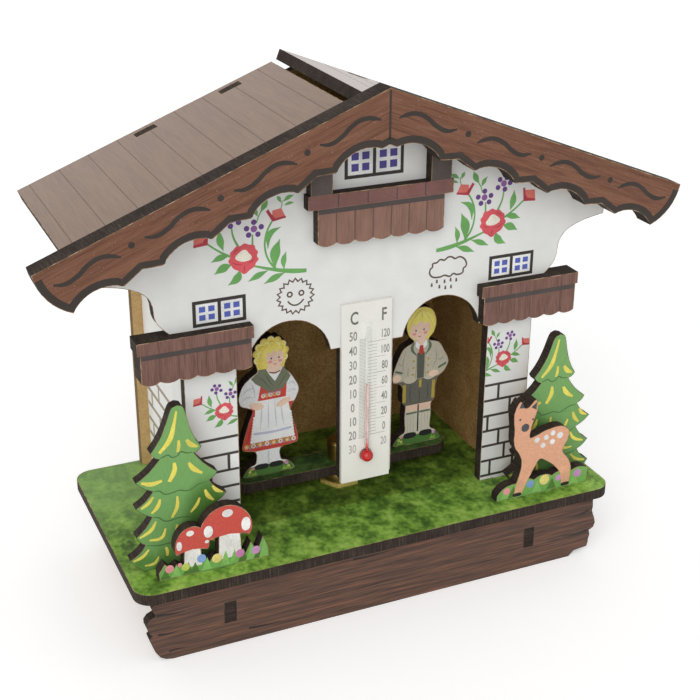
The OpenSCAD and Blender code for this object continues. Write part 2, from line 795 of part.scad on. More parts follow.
module curls(k) {
    step = (curl_arc[1] - curl_arc[0]) / (curl_count - 1);
    for (i = [0 : curl_count - 1])
        let (a = curl_arc[0] + i * step)
            translate(k * (curl_centre + curl_arc_r * [cos(a), sin(a)])) circle(d = k * curl_d);
}

module woman_figure() {
    k = woman_h / woman_points_h;
    color("crimson") figure(-woman_x, woman_points, k) curls(k);
}

module man_figure() {
    color("tan") figure(man_x, man_points, man_h / man_points_h);
}

// Mechanism

module bar_hub() {
    color("goldenrod") rotate_extrude() {
        bore_r = spindle_d / 2 + running_gap;
        head_top = bar_top + hub_h;
        bore_top = spindle_top + end_play;
        polygon([
            [bore_r, sleeve_z], [sleeve_d / 2, sleeve_z], [sleeve_d / 2, bar_top], [hub_d / 2, bar_top],
            [hub_d / 2, head_top - hub_chamfer], [hub_d / 2 - hub_chamfer, head_top], [0, head_top],
            [0, bore_top],
            [bore_r, bore_top]
        ]);
    }
}

module pivot_spindle() {
    color("silver") translate([0, 0, deck_bottom]) cylinder(d = spindle_d, h = spindle_top - deck_bottom);
}

module base_nut() {
    color("goldenrod") translate([0, 0, deck_top]) difference() {
        rotate(nut_turn) cylinder(d = nut_d, h = nut_h, $fn = 6);
        translate([0, 0, -past]) cylinder(d = spindle_d + 2 * glue_gap, h = nut_h + 2 * past);
    }
}

module coil_anchor_pin() {
    color("silver") anchor_place()
        translate([0, 0, deck_bottom]) cylinder(d = anchor_d, h = coil_z + strip_w - deck_bottom);
}

// Edge of the coil's strip, shifted outward by off from its middle line
function coil_edge(off) =
    [for (i = [0 : coil_sides * coil_turns])
        let (
            a = 360 * i / coil_sides,
            r = coil_r0 + coil_step * a / 360 + off
        )
        r * [cos(coil_end_angle + a), sin(coil_end_angle + a)]];

coil_out = coil_edge(strip_t / 2);
coil_in = coil_edge(-strip_t / 2);
coil_last = coil_sides * coil_turns;
coil_least_gap = min([for (i = [0 : coil_last - coil_sides], j = [i + coil_sides / 2 : coil_last])
    norm(coil_out[i] - coil_in[j])]);
echo(str("Least gap between turns of the coil: ", coil_least_gap, " mm"));

module bimetal_coil() {
    color("gold") translate([0, 0, coil_z]) linear_extrude(strip_w)
        polygon(tidy(concat(coil_out, [for (i = [coil_last : -1 : 0]) coil_in[i]])));
}

// Thermometer

module thermometer_card() {
    color("white") translate([-card_shift, 0, 0]) difference() {
        translate([-card_w / 2, card_y, card_z]) cube([card_w, card_t, card_h]);
        translate([0, card_y + card_t + past, bulb_z]) rotate([90, 0, 0])
            cylinder(d = bulb_d + 2 * seat_gap, h = card_t + 2 * past);
    }
}

module thermometer_tube() {
    neck_z = bulb_z + sqrt(bulb_d * bulb_d - thread_d * thread_d) / 2 + glue_gap;
    color("lightcyan") translate([-card_shift, tube_y, 0]) difference() {
        translate([0, 0, neck_z]) cylinder(d = tube_d, h = tube_top - neck_z);
        translate([0, 0, neck_z - past]) cylinder(d = thread_d + 2 * glue_gap, h = tube_top - neck_z);
    }
}

module thermometer_spirit() {
    color("red") translate([-card_shift, tube_y, bulb_z]) {
        sphere(d = bulb_d);
        cylinder(d = thread_d, h = reading_h);
    }
}

base_deck();
plinth_front();
plinth_back();
plinth_side_left();
plinth_side_right();
front_wall();
side_wall_left();
side_wall_right();
rear_wall();
barge_board_front();
barge_board_back();
roof_panel_left();
roof_panel_right();
centre_balcony();
left_balcony();
right_balcony();
left_tree();
right_tree();
mushroom_group();
fawn_group();
figure_bar();
woman_figure();
man_figure();
bar_hub();
pivot_spindle();
base_nut();
coil_anchor_pin();
bimetal_coil();
thermometer_card();
thermometer_tube();
thermometer_spirit();
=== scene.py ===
import math

import bmesh
import bpy
from mathutils import Matrix, Vector


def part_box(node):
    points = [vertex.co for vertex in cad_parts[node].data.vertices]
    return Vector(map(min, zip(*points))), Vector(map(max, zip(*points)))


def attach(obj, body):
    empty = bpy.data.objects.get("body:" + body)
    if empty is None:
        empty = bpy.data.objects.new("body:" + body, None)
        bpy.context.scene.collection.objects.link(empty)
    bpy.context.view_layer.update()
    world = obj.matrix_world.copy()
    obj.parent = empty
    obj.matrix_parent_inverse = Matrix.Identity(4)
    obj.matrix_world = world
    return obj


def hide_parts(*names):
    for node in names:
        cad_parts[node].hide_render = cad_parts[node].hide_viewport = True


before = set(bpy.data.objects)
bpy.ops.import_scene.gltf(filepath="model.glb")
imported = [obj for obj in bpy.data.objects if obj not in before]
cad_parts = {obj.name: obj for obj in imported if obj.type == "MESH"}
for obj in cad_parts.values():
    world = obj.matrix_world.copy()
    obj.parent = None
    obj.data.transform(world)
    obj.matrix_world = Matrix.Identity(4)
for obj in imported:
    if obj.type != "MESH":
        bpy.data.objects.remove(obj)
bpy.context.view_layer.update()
mm = 0.001
scene = bpy.context.scene
scene.view_settings.view_transform = "Standard"
print("frame loaded,", len(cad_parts), "nodes")

# Node helpers


def linear(colour):
    # 0-255 screen colour to the linear values that sockets take
    def channel(value):
        value = value / 255
        return value / 12.92 if value <= 0.04045 else ((value + 0.055) / 1.055) ** 2.4
    return tuple(channel(v) for v in colour) + (1,)


def startFinish(name, roughness, specular=0.3):
    finish = bpy.data.materials.new(name)
    finish.use_nodes = True
    shader = finish.node_tree.nodes["Principled BSDF"]
    shader.inputs["Roughness"].default_value = roughness
    shader.inputs["Specular IOR Level"].default_value = specular
    return finish


def addNode(finish, kind, inputs, **settings):
    made = finish.node_tree.nodes.new(kind)
    for key, value in settings.items():
        setattr(made, key, value)
    for key, value in inputs.items():
        if isinstance(value, bpy.types.NodeSocket):
            finish.node_tree.links.new(value, made.inputs[key])
        else:
            made.inputs[key].default_value = value
    return made


def feed(finish, socket, name):
    shader = finish.node_tree.nodes["Principled BSDF"]
    finish.node_tree.links.new(socket, shader.inputs[name])


def coordinates(finish, mirrored=False):
    place = addNode(finish, "ShaderNodeTexCoord", {}).outputs["Object"]
    if not mirrored:
        return place
    split = addNode(finish, "ShaderNodeSeparateXYZ", {0: place}).outputs
    parts = {0: sums(finish, "ABSOLUTE", split["X"]), 1: split["Y"], 2: split["Z"]}
    return addNode(finish, "ShaderNodeCombineXYZ", parts).outputs[0]


def sums(finish, operation, first, second=0.0):
    return addNode(finish, "ShaderNodeMath", {0: first, 1: second}, operation=operation).outputs[0]


def mottle(finish, size, detail=3.0, turn=0.0, mirrored=False):
    # noise with blotches of the given size in mm, turned about Y
    space = addNode(
        finish, "ShaderNodeMapping",
        {"Vector": coordinates(finish, mirrored), "Scale": [s * mm for s in size],
         "Rotation": (0, math.radians(turn), 0)},
        vector_type="TEXTURE")
    noise = addNode(
        finish, "ShaderNodeTexNoise",
        {"Vector": space.outputs[0], "Scale": 1.0, "Detail": detail, "Roughness": 0.6})
    return noise.outputs["Fac"]


def shades(finish, value, stops, steps=False):
    ramp = addNode(finish, "ShaderNodeValToRGB", {"Fac": value}).color_ramp
    ramp.interpolation = "CONSTANT" if steps else "LINEAR"
    ramp.elements.remove(ramp.elements[1])
    ramp.elements[0].position = stops[0][0]
    ramp.elements[0].color = linear(stops[0][1])
    for place, colour in stops[1:]:
        ramp.elements.new(place).color = linear(colour)
    return finish.node_tree.nodes[-1].outputs["Color"]


def mixed(finish, amount, first, second, mode="MIX"):
    parts = {0: amount, 6: first, 7: second}
    return addNode(finish, "ShaderNodeMix", parts, data_type="RGBA", blend_type=mode).outputs[2]


def axes(finish, mirrored=False):
    return addNode(finish, "ShaderNodeSeparateXYZ", {0: coordinates(finish, mirrored)}).outputs


def ramped(finish, value, low, high, top=1.0):
    # 0 to top while value goes from low to high, in mm
    return addNode(finish, "ShaderNodeMapRange", {
        "Value": value, "From Min": low * mm, "From Max": high * mm, "To Max": top}).outputs[0]


def blend(finish, first, second, share):
    # share of the first, the rest of the second
    rest = sums(finish, "MULTIPLY", second, 1 - share)
    return sums(finish, "ADD", sums(finish, "MULTIPLY", first, share), rest)


def tinted(finish, base, value, stops):
    return mixed(finish, 1.0, base, shades(finish, value, stops), "MULTIPLY")


def emboss(finish, height, depth):
    bump = addNode(finish, "ShaderNodeBump", {"Height": height, "Distance": depth * mm, "Strength": 1.0})
    feed(finish, bump.outputs["Normal"], "Normal")


def coloured(finish, base, height, depth):
    # hands the finish its colour and a relief of depth mm
    feed(finish, base, "Base Color")
    emboss(finish, height, depth)
    return finish


# Camera, floor and light

photoCamera = {
    "place": (-133.94, -305.20, 214.58),  # mm
    "turn": 24.159,  # degrees to the right
    "tilt": 24.363,  # degrees down
    "roll": 0.388,
    "focalPixels": 1322.4,
    "framePixels": 700,
}


def addCamera(look):
    data = bpy.data.cameras.new("photoCamera")
    data.lens = data.sensor_width * look["focalPixels"] / look["framePixels"]
    camera = bpy.data.objects.new("photoCamera", data)
    turn = Matrix.Rotation(math.radians(-look["turn"]), 4, "Z")
    tilt = Matrix.Rotation(math.radians(90 - look["tilt"]), 4, "X")
    roll = Matrix.Rotation(math.radians(look["roll"]), 4, "Z")
    camera.matrix_world = Matrix.Translation(Vector(look["place"]) * mm) @ turn @ tilt @ roll
    scene.collection.objects.link(camera)
    scene.camera = camera


studio = {
    "floorSize": 6.0,  # m
    "floorShade": 0.94,
    "floorRoughness": 0.9,
    "floorSheen": 0.1,
    "floorGlow": 0.3,  # for the camera, mirrors and glass
    "white": (1, 1, 1, 1),
    "skyLight": 0.6,
    "keyLight": 1.35,
    "keyFrom": (-0.55, -0.8, 0.6),
    "keySpread": 55,  # degrees, wide for soft shadows
}


def seenPlainly(owner):
    # 1 for rays from the camera, off mirrors and through glass, else 0
    path = addNode(owner, "ShaderNodeLightPath", {}).outputs
    seen = path["Is Camera Ray"]
    for ray in ("Is Glossy Ray", "Is Transmission Ray"):
        seen = sums(owner, "MAXIMUM", seen, path[ray])
    return seen


def addSky(look):
    world = bpy.data.worlds.new("studio")
    scene.world = world
    world.use_nodes = True
    nodes = world.node_tree.nodes
    sky = nodes["Background"]
    sky.inputs["Color"].default_value = look["white"]
    sky.inputs["Strength"].default_value = look["skyLight"]
    plain = addNode(world, "ShaderNodeBackground", {"Color": look["white"]})
    shaders = {"Fac": seenPlainly(world), 1: sky.outputs[0], 2: plain.outputs[0]}
    choice = addNode(world, "ShaderNodeMixShader", shaders)
    world.node_tree.links.new(choice.outputs[0], nodes["World Output"].inputs["Surface"])


def addKeyLight(look):
    sun = bpy.data.lights.new("keyLight", "SUN")
    sun.energy = look["keyLight"]
    sun.angle = math.radians(look["keySpread"])
    lamp = bpy.data.objects.new("keyLight", sun)
    lamp.rotation_euler = Vector(look["keyFrom"]).to_track_quat("Z", "Y").to_euler()
    scene.collection.objects.link(lamp)


def addFloor(look):
    bm = bmesh.new()
    bmesh.ops.create_grid(bm, x_segments=1, y_segments=1, size=look["floorSize"] / 2)
    mesh = bpy.data.meshes.new("floor")
    bm.to_mesh(mesh)
    bm.free()
    paint = startFinish("paleFloor", look["floorRoughness"], look["floorSheen"])
    surface = paint.node_tree.nodes["Principled BSDF"]
    surface.inputs["Base Color"].default_value = [look["floorShade"]] * 3 + [1]
    surface.inputs["Emission Color"].default_value = look["white"]
    feed(paint, sums(paint, "MULTIPLY", seenPlainly(paint), look["floorGlow"]), "Emission Strength")
    mesh.materials.append(paint)
    floor = bpy.data.objects.new("floor", mesh)
    scene.collection.objects.link(floor)


addCamera(photoCamera)
addSky(studio)
addKeyLight(studio)
addFloor(studio)
print("camera, floor and light set")

# Finishes of the cut board

inkGrain = {"fine": (0.35, 0.35, 0.35), "broad": (6, 6, 6), "depth": 0.012, "darker": 1.6,
            "stops": (0.1, 0.42)}


def printedFinish(name, colour, spread=0.07, roughness=0.58):
    # one ink: even colour that wavers a little, as a printed sheet does
    finish = startFinish(name, roughness)
    fine = mottle(finish, inkGrain["fine"], 2)
    broad = mottle(finish, inkGrain["broad"], 1)
    grain = sums(finish, "MULTIPLY", fine, broad)
    low = tuple(c * (1 - inkGrain["darker"] * spread) for c in colour)
    high = tuple(min(255, c * (1 + spread)) for c in colour)
    base = shades(finish, grain, list(zip(inkGrain["stops"], (low, high))))
    return coloured(finish, base, fine, inkGrain["depth"])


charLook = {
    "thin": 0.2, "long": 5, "grit": 0.24, "streaky": 0.6, "patch": (7, 7, 7), "depth": 0.07, "fade": 0.4,
    "tones": [(0.36, (42, 36, 32)), (0.52, (58, 50, 45)), (0.65, (100, 88, 78))],
    "bare": [(0.36, (84, 64, 38)), (0.5, (118, 94, 56)), (0.64, (150, 122, 78))],
    "smoke": [(0.35, (200, 190, 184)), (0.65, (255, 250, 246))],
}


def charredFinish(name, across, bareFrom=None):
    # burnt edge: streaks run through the sheet, along its thickness; only browned beyond bareFrom mm
    finish = startFinish(name, 0.82, 0.2)
    size = [charLook["long"] if axis == across else charLook["thin"] for axis in "XYZ"]
    grit = mottle(finish, [charLook["grit"]] * 3, 3)
    streaks = blend(finish, mottle(finish, size, 4), grit, charLook["streaky"])
    patches = mottle(finish, charLook["patch"], 2)
    base = tinted(finish, shades(finish, streaks, charLook["tones"]), patches, charLook["smoke"])
    if bareFrom:
        bare = ramped(finish, axes(finish, True)["X"], bareFrom - charLook["fade"], bareFrom)
        base = mixed(finish, bare, base, shades(finish, streaks, charLook["bare"]))
    return coloured(finish, base, streaks, charLook["depth"])


rimLook = {"stops": (0.32, 0.48, 0.6, 0.75), "patch": (2.5, 2.5, 2.5)}


def rimFinish(name, tones):
    # thin scorched line where the print meets the cut
    finish = startFinish(name, 0.7)
    patches = mottle(finish, rimLook["patch"], 3)
    feed(finish, shades(finish, patches, list(zip(rimLook["stops"], tones))), "Base Color")
    return finish


boardLook = {
    "tones": [(0.28, (138, 104, 58)), (0.5, (176, 141, 88)), (0.72, (200, 170, 120))],
    "smoke": [(0.35, (226, 216, 204)), (0.65, (255, 252, 248))],
    "fibre": (0.5, 0.5, 0.5), "cloud": (9, 9, 9), "depth": 0.04,
    # painted light: the paler tone, and its share, for the board outside the side walls
    "paintedLight": (255, 224, 168), "litShare": 0.28, "fade": 0.4,
}


def rawFinish(name, look, litFrom=None):
    # bare fibre board; past the given mm to either side it is painted paler, as painted light on the ends
    # outside the side walls
    finish = startFinish(name, 0.78, 0.2)
    fibres = mottle(finish, look["fibre"], 5)
    clouds = mottle(finish, look["cloud"], 2)
    base = tinted(finish, shades(finish, fibres, look["tones"]), clouds, look["smoke"])
    if litFrom:
        # painted light: paler towards both ends
        aside = axes(finish, True)["X"]
        paintedLight = ramped(finish, aside, litFrom - look["fade"], litFrom, look["litShare"])
        base = mixed(finish, paintedLight, base, linear(look["paintedLight"]))
    return coloured(finish, base, fibres, look["depth"])


woodLook = {
    "roughness": 0.6, "sheen": 0.3, "grainShare": 0.6, "darkAt": 0.36, "midAt": 0.5, "lightAt": 0.66,
    "depth": 0.02, "dust": 0.4, "dustSize": (0.26, 0.26, 0.26), "dustFrom": 0.8, "dustFull": 0.86,
    "dustColour": (206, 192, 180),
}


def woodFinish(name, look, turn=0, mirrored=False):
    # streaky wood print with specks of dust, where a look's own values go before the usual ones
    look = {**woodLook, **look}
    finish = startFinish(name, look["roughness"], look["sheen"])
    grain = mottle(finish, look["grain"], 4, turn, mirrored)
    streak = mottle(finish, look["streak"], 2, turn, mirrored)
    value = blend(finish, grain, streak, look["grainShare"])
    stops = (look["darkAt"], look["midAt"], look["lightAt"])
    base = shades(finish, value, list(zip(stops, look["tones"])))
    dust = addNode(finish, "ShaderNodeMapRange", {
        "Value": mottle(finish, look["dustSize"], 0), "From Min": look["dustFrom"],
        "From Max": look["dustFull"], "To Max": look["dust"]}).outputs[0]
    base = mixed(finish, dust, base, linear(look["dustColour"]))
    return coloured(finish, base, grain, look["depth"])


charThrough = [charredFinish("charThrough" + axis, axis) for axis in "XYZ"]
scorchedRim = rimFinish("scorchedRim", [(84, 66, 52), (136, 110, 82), (184, 156, 120), (208, 186, 154)])
darkRim = rimFinish("darkRim", [(50, 41, 36), (64, 52, 45), (84, 68, 57), (118, 98, 80)])
bareBoard = rawFinish("bareBoard", boardLook)
whitePaint = printedFinish("whitePaint", (226, 226, 223), 0.015)
# painted light: the front wall's white made lighter for the side walls, as the light falls on them from the
# left
litSidePaint = printedFinish("litSidePaint", (246, 246, 243), 0.015)
print("board finishes made")

# Builders


def addPiece(name, bm, finishes, body, replaced=None):
    mesh = bpy.data.meshes.new(name)
    bm.to_mesh(mesh)
    bm.free()
    for finish in finishes:
        mesh.materials.append(finish)
    piece = bpy.data.objects.new(name, mesh)
    scene.collection.objects.link(piece)
    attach(piece, body)
    if replaced:
        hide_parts(replaced)
    return piece


sheetLook = {
    "rim": 0.15,  # mm of scorched line round each print
    "weld": 0.002,  # mm
    "flat": 0.5,  # degrees
    "crease": 32,  # degrees
    "shaded": 20,  # degrees between faces that shade as one
    "facing": 0.9,  # least cosine of a face that looks the sheet's way
}


def solidOf(node, whole=True):
    # a node's mesh with its corners joined, and its flat faces made whole
    bm = bmesh.new()
    bm.from_mesh(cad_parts[node].data)
    bmesh.ops.remove_doubles(bm, verts=bm.verts, dist=sheetLook["weld"] * mm)
    if whole:
        flat = math.radians(sheetLook["flat"])
        bmesh.ops.dissolve_limit(bm, angle_limit=flat, verts=bm.verts, edges=bm.edges)
    bm.normal_update()
    return bm


def cutSheet(name, node, face, facing=(0, -1, 0), body="house", rim=scorchedRim,
             back=bareBoard, char=None):
    # the solid of a sheet, with its print inset from the charred edge
    bm = solidOf(node)
    facing = Vector(facing).normalized()
    parts = [abs(part) for part in facing]
    char = char or charThrough[parts.index(max(parts))]
    printed = []
    for side in bm.faces:
        lean = side.normal.dot(facing)
        side.material_index = 0 if lean > sheetLook["facing"] else 3 if lean < -sheetLook["facing"] else 2
        side.smooth = side.material_index == 2
        if side.material_index == 0:
            printed.append(side)
    crease = math.radians(sheetLook["crease"])
    for edge in bm.edges:
        edge.smooth = edge.is_manifold and edge.calc_face_angle() < crease
    inset = sheetLook["rim"] * mm
    ring = bmesh.ops.inset_region(bm, faces=printed, thickness=inset, use_boundary=True,
                                  use_even_offset=True)
    for strip in ring["faces"]:
        strip.material_index = 1
    addPiece(name, bm, [face, rim, char, back], body, node)


# Marks of ink, drawn flat in mm

inkLook = {
    "under": 0.01, "first": 0.02, "step": 0.015, "shares": 15,  # heights of the ink's two faces
    "curve": 5, "half": 0.44, "lip": 0.06,  # half of a unit width, less the bevelled lip
    "weld": 1e-5, "level": 1e-4,
}


def area(*points):
    return {"points": points, "filled": True, "rounded": True, "closed": True}


def plate(*points):
    return {"points": points, "filled": True, "rounded": False, "closed": True}


def panel(left, low, right, high):
    return plate((left, low), (right, low), (right, high), (left, high))


def disc(x, z, wide, high=None):
    high = high or wide
    return area((x - wide, z), (x, z - high), (x + wide, z), (x, z + high))


def brush(points, widths, rounded=True, closed=False):
    return {"points": points, "widths": widths, "filled": False, "rounded": rounded, "closed": closed}


def ruled(points, width):
    return brush(points, [width] * len(points), False)


def looped(points, width, rounded=True):
    return brush(points, [width] * len(points), rounded, True)


def fills(level, inkName, shapes, make=plate):
    return [(level, inkName, make(*shape)) for shape in shapes]


def strokes(level, inkName, lines, widths):
    return [(level, inkName, brush(line, widths)) for line in lines]


def uprights(level, inkName, places, low, high, width):
    return [(level, inkName, ruled([(x, low), (x, high)], width)) for x in places]


def moved(points, x, z):
    return [(x + px, z + pz) for px, pz in points]


def placed(marks, x, z, size=1.0, mirrored=False):
    # copies of marks, sized about the origin and set down at x, z
    side = -1 if mirrored else 1
    copies = []
    for level, inkName, shape in marks:
        copy = dict(shape)
        copy["points"] = [(x + side * size * px, z + size * pz) for px, pz in shape["points"]]
        if "widths" in shape:
            copy["widths"] = [w * size for w in shape["widths"]]
        copies.append((level, inkName, copy))
    return copies


def markCurve(shape):
    curve = bpy.data.curves.new("mark", "CURVE")
    curve.resolution_u = inkLook["curve"] if shape["rounded"] else 1
    if shape["filled"]:
        curve.dimensions = "2D"
        curve.fill_mode = "BOTH"
        curve.extrude = 0.5
    else:
        curve.dimensions = "3D"
        curve.twist_mode = "Z_UP"
        curve.extrude = inkLook["half"]
        curve.bevel_depth = inkLook["lip"]
        curve.bevel_resolution = 0
        curve.use_fill_caps = True
    spline = curve.splines.new("BEZIER")
    spline.bezier_points.add(len(shape["points"]) - 1)
    spline.use_cyclic_u = shape["closed"]
    spline.radius_interpolation = "CARDINAL" if shape["rounded"] else "LINEAR"
    handle = "AUTO" if shape["rounded"] else "VECTOR"
    widths = shape.get("widths") or [1] * len(shape["points"])
    for knot, (x, z), width in zip(spline.bezier_points, shape["points"], widths):
        knot.co = (x, z, 0)
        knot.radius = width
        knot.tilt = math.pi / 2  # lays the ribbon flat
        knot.handle_left_type = handle
        knot.handle_right_type = handle
    return curve


def meshOf(data):
    holder = bpy.data.objects.new("mark", data)
    scene.collection.objects.link(holder)
    shown = holder.evaluated_get(bpy.context.evaluated_depsgraph_get())
    mesh = bpy.data.meshes.new_from_object(shown)
    bpy.data.objects.remove(holder)
    return mesh


def addMark(bm, mesh, level, slotIndex, shift, share):
    # appends a mark and sets its two faces at the level's height
    top = inkLook["first"] + (level + share / inkLook["shares"]) * inkLook["step"]
    edge = inkLook["level"]
    firstVert = len(bm.verts)
    firstFace = len(bm.faces)
    bm.from_mesh(mesh)
    bm.verts.ensure_lookup_table()
    bm.faces.ensure_lookup_table()
    for vert in bm.verts[firstVert:]:
        side = vert.co.z
        vert.co.z = top if side > edge else -inkLook["under"] if side < -edge else 0.5 * top
        vert.co.x = vert.co.x * shift[2] + shift[0]
        vert.co.y += shift[1]
    for face in bm.faces[firstFace:]:
        face.material_index = slotIndex
        face.smooth = False


inks = {}


def mixInks(colours, spread=0.07):
    for name, colour in colours.items():
        inks[name] = printedFinish(name, colour, spread)


def frontOf(node):
    return Matrix.Translation((0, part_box(node)[0].y, 0)) @ Matrix.Rotation(math.radians(90), 4, "X")


def sideOf(node, side):
    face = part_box(node)[0].x if side < 0 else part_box(node)[1].x
    turn = Matrix.Rotation(math.radians(90 * side), 4, "Z")
    return Matrix.Translation((face, 0, 0)) @ turn @ Matrix.Rotation(math.radians(90), 4, "X")


def printOn(name, place, marks, body="house", texts=(), limits=None):
    # one piece of ink for a panel; limits cuts it off at two x values
    bm = bmesh.new()
    used = []
    for count, (level, inkName, shape) in enumerate(list(marks) + list(texts)):
        if inkName not in used:
            used.append(inkName)
        data = shape if isinstance(shape, bpy.types.TextCurve) else markCurve(shape)
        shift = (data["x"], data["z"], data["narrow"]) if "x" in data else (0, 0, 1)
        # neighbours in a level get heights of their own, so no two inks share a plane
        addMark(bm, meshOf(data), level, used.index(inkName), shift, count % inkLook["shares"])
    bmesh.ops.remove_doubles(bm, verts=bm.verts, dist=inkLook["weld"])
    for edge, outward in limits or []:
        geom = bm.verts[:] + bm.edges[:] + bm.faces[:]
        bmesh.ops.bisect_plane(bm, geom=geom, plane_co=(edge, 0, 0), plane_no=(outward, 0, 0),
                               clear_outer=True)
        rims = [e for e in bm.edges if e.is_boundary]
        bmesh.ops.holes_fill(bm, edges=rims, sides=0)
    bmesh.ops.transform(bm, matrix=place @ Matrix.Scale(mm, 4), verts=bm.verts)
    bmesh.ops.recalc_face_normals(bm, faces=bm.faces)
    addPiece(name, bm, [inks[inkName] for inkName in used], body)


mixInks({
    "lineBlack": (52, 47, 43), "lineBrown": (96, 82, 72), "paneBlue": (84, 98, 178),
    "paneViolet": (78, 70, 140), "sashWhite": (232, 232, 230), "leafGreen": (108, 166, 92),
    "petalCoral": (214, 88, 96), "petalCream": (236, 230, 214), "budCoral": (218, 116, 104),
    "budRed": (176, 60, 72), "berryViolet": (104, 68, 134), "berryHeart": (146, 92, 158),
    "brickWhite": (250, 250, 249), "brickLine": (66, 60, 54), "brickGrey": (168, 156, 138),
})
print("inks mixed")

# Grass deck and log plinth

deckLook = {
    "tones": [(58, 88, 31), (92, 130, 46), (130, 172, 67), (166, 200, 96)],
    "blade": (1.2, 1.5, 1.5), "patch": (5, 6, 5),
    "smooth": (134, 170, 102), "smoothShare": 0.6, "brushedUpTo": -8.0, "smoothFrom": 14.0,  # mm along Y
    "wallAt": 47.0,  # mm from the middle; the airbrushed back lies outside the walls
    "roomFrom": -14.5, "room": (218, 210, 194),  # painted shade on the deck inside the house, where the walls and roof keep the light off
    "brightFrom": -20.0, "brightAt": -33.0, "bright": 0.05,  # lighter towards the front edge: partly the print, partly painted light clear of the house's shade
}
grassLook = {"stops": (0.37, 0.47, 0.56, 0.68), "bladeShare": 0.4, "depth": 0.02}


def grassFinish(name, look):
    finish = startFinish(name, 0.6)
    blades = mottle(finish, look["blade"], 4)
    value = blend(finish, blades, mottle(finish, look["patch"], 2), grassLook["bladeShare"])
    tones = list(zip(grassLook["stops"], look["tones"]))
    if "smooth" in look:
        place = axes(finish, True)
        # lighter towards the front edge: partly the print, partly painted light clear of the house's shade
        front = ramped(finish, place["Y"], look["brightFrom"], look["brightAt"], look["bright"])
        base = shades(finish, sums(finish, "ADD", value, front), tones)
        back = ramped(finish, place["Y"], look["brushedUpTo"], look["smoothFrom"], look["smoothShare"])
        outside = sums(finish, "GREATER_THAN", place["X"], look["wallAt"] * mm)
        base = mixed(finish, sums(finish, "MULTIPLY", back, outside), base, linear(look["smooth"]))
        # painted shade: the deck is darker inside the house, behind the start line and between the walls
        behind = sums(finish, "GREATER_THAN", place["Y"], look["roomFrom"] * mm)
        inside = sums(finish, "MULTIPLY", behind, sums(finish, "SUBTRACT", 1.0, outside))
        base = mixed(finish, inside, base, linear(look["room"]), "MULTIPLY")
    else:
        base = shades(finish, value, tones)
    return coloured(finish, base, blades, grassLook["depth"])


grassPrint = grassFinish("grassPrint", deckLook)
cutSheet("deckSheet", "base_deck", grassPrint, (0, 0, 1))

logLook = {
    "tones": [(50, 40, 36), (91, 68, 57), (132, 90, 69)], "darkAt": 0.34, "dust": 0,
    "grain": (9, 6, 0.24), "streak": (28, 8, 1.0), "grainShare": 0.55,
    "cracks": [
        [(-64.6, 14.3), (-61, 13.9), (-57.2, 13.8)], [(-64.6, 8.4), (-62, 8.1), (-58.8, 8.2)],
        [(-62, 2.6), (-59.8, 2.7), (-57.4, 2.5)], [(65, 14.2), (61.6, 13.6), (57.6, 13.7)],
        [(65, 7.5), (61.4, 7.2), (56.6, 7.4)], [(-40, 3.4), (-35, 3.1), (-31, 3.3)],
        [(-10, 17), (-4, 16.8), (3, 17)],
    ],
    "crackWidths": [0.75, 0.45, 0.1],
}
logPrint = woodFinish("logPrint", logLook)
mixInks({"crackBlack": (48, 41, 38)})
cutSheet("plinthFrontSheet", "plinth_front", logPrint, rim=darkRim)
cutSheet("plinthBackSheet", "plinth_back", logPrint, (0, 1, 0), rim=darkRim)
cracks = strokes(0, "crackBlack", logLook["cracks"], logLook["crackWidths"])
printOn("plinthCracks", frontOf("plinth_front"), cracks)
for side, x in (("left", -1), ("right", 1)):
    cutSheet(side + "BraceSheet", "plinth_side_" + side, bareBoard, (x, 0, 0))
print("deck and plinth finished")

# Walls

rearWall = {"litFrom": 47.3, "bareFrom": 48.5}  # mm from the middle, outside the side walls
cutSheet("frontWallSheet", "front_wall", whitePaint)
for side, x in (("left", -1), ("right", 1)):
    # the side walls get the lighter white: painted light from the left
    cutSheet(side + "WallSheet", "side_wall_" + side, litSidePaint, (x, 0, 0))
# painted light: the rear wall's face is paler outside the side walls, where it stands in the open
litBoard = rawFinish("litBoard", boardLook, rearWall["litFrom"])
rearEdge = charredFinish("rearEdge", "Y", rearWall["bareFrom"])
cutSheet("rearWallSheet", "rear_wall", bareBoard, (0, 1, 0), back=litBoard, char=rearEdge)

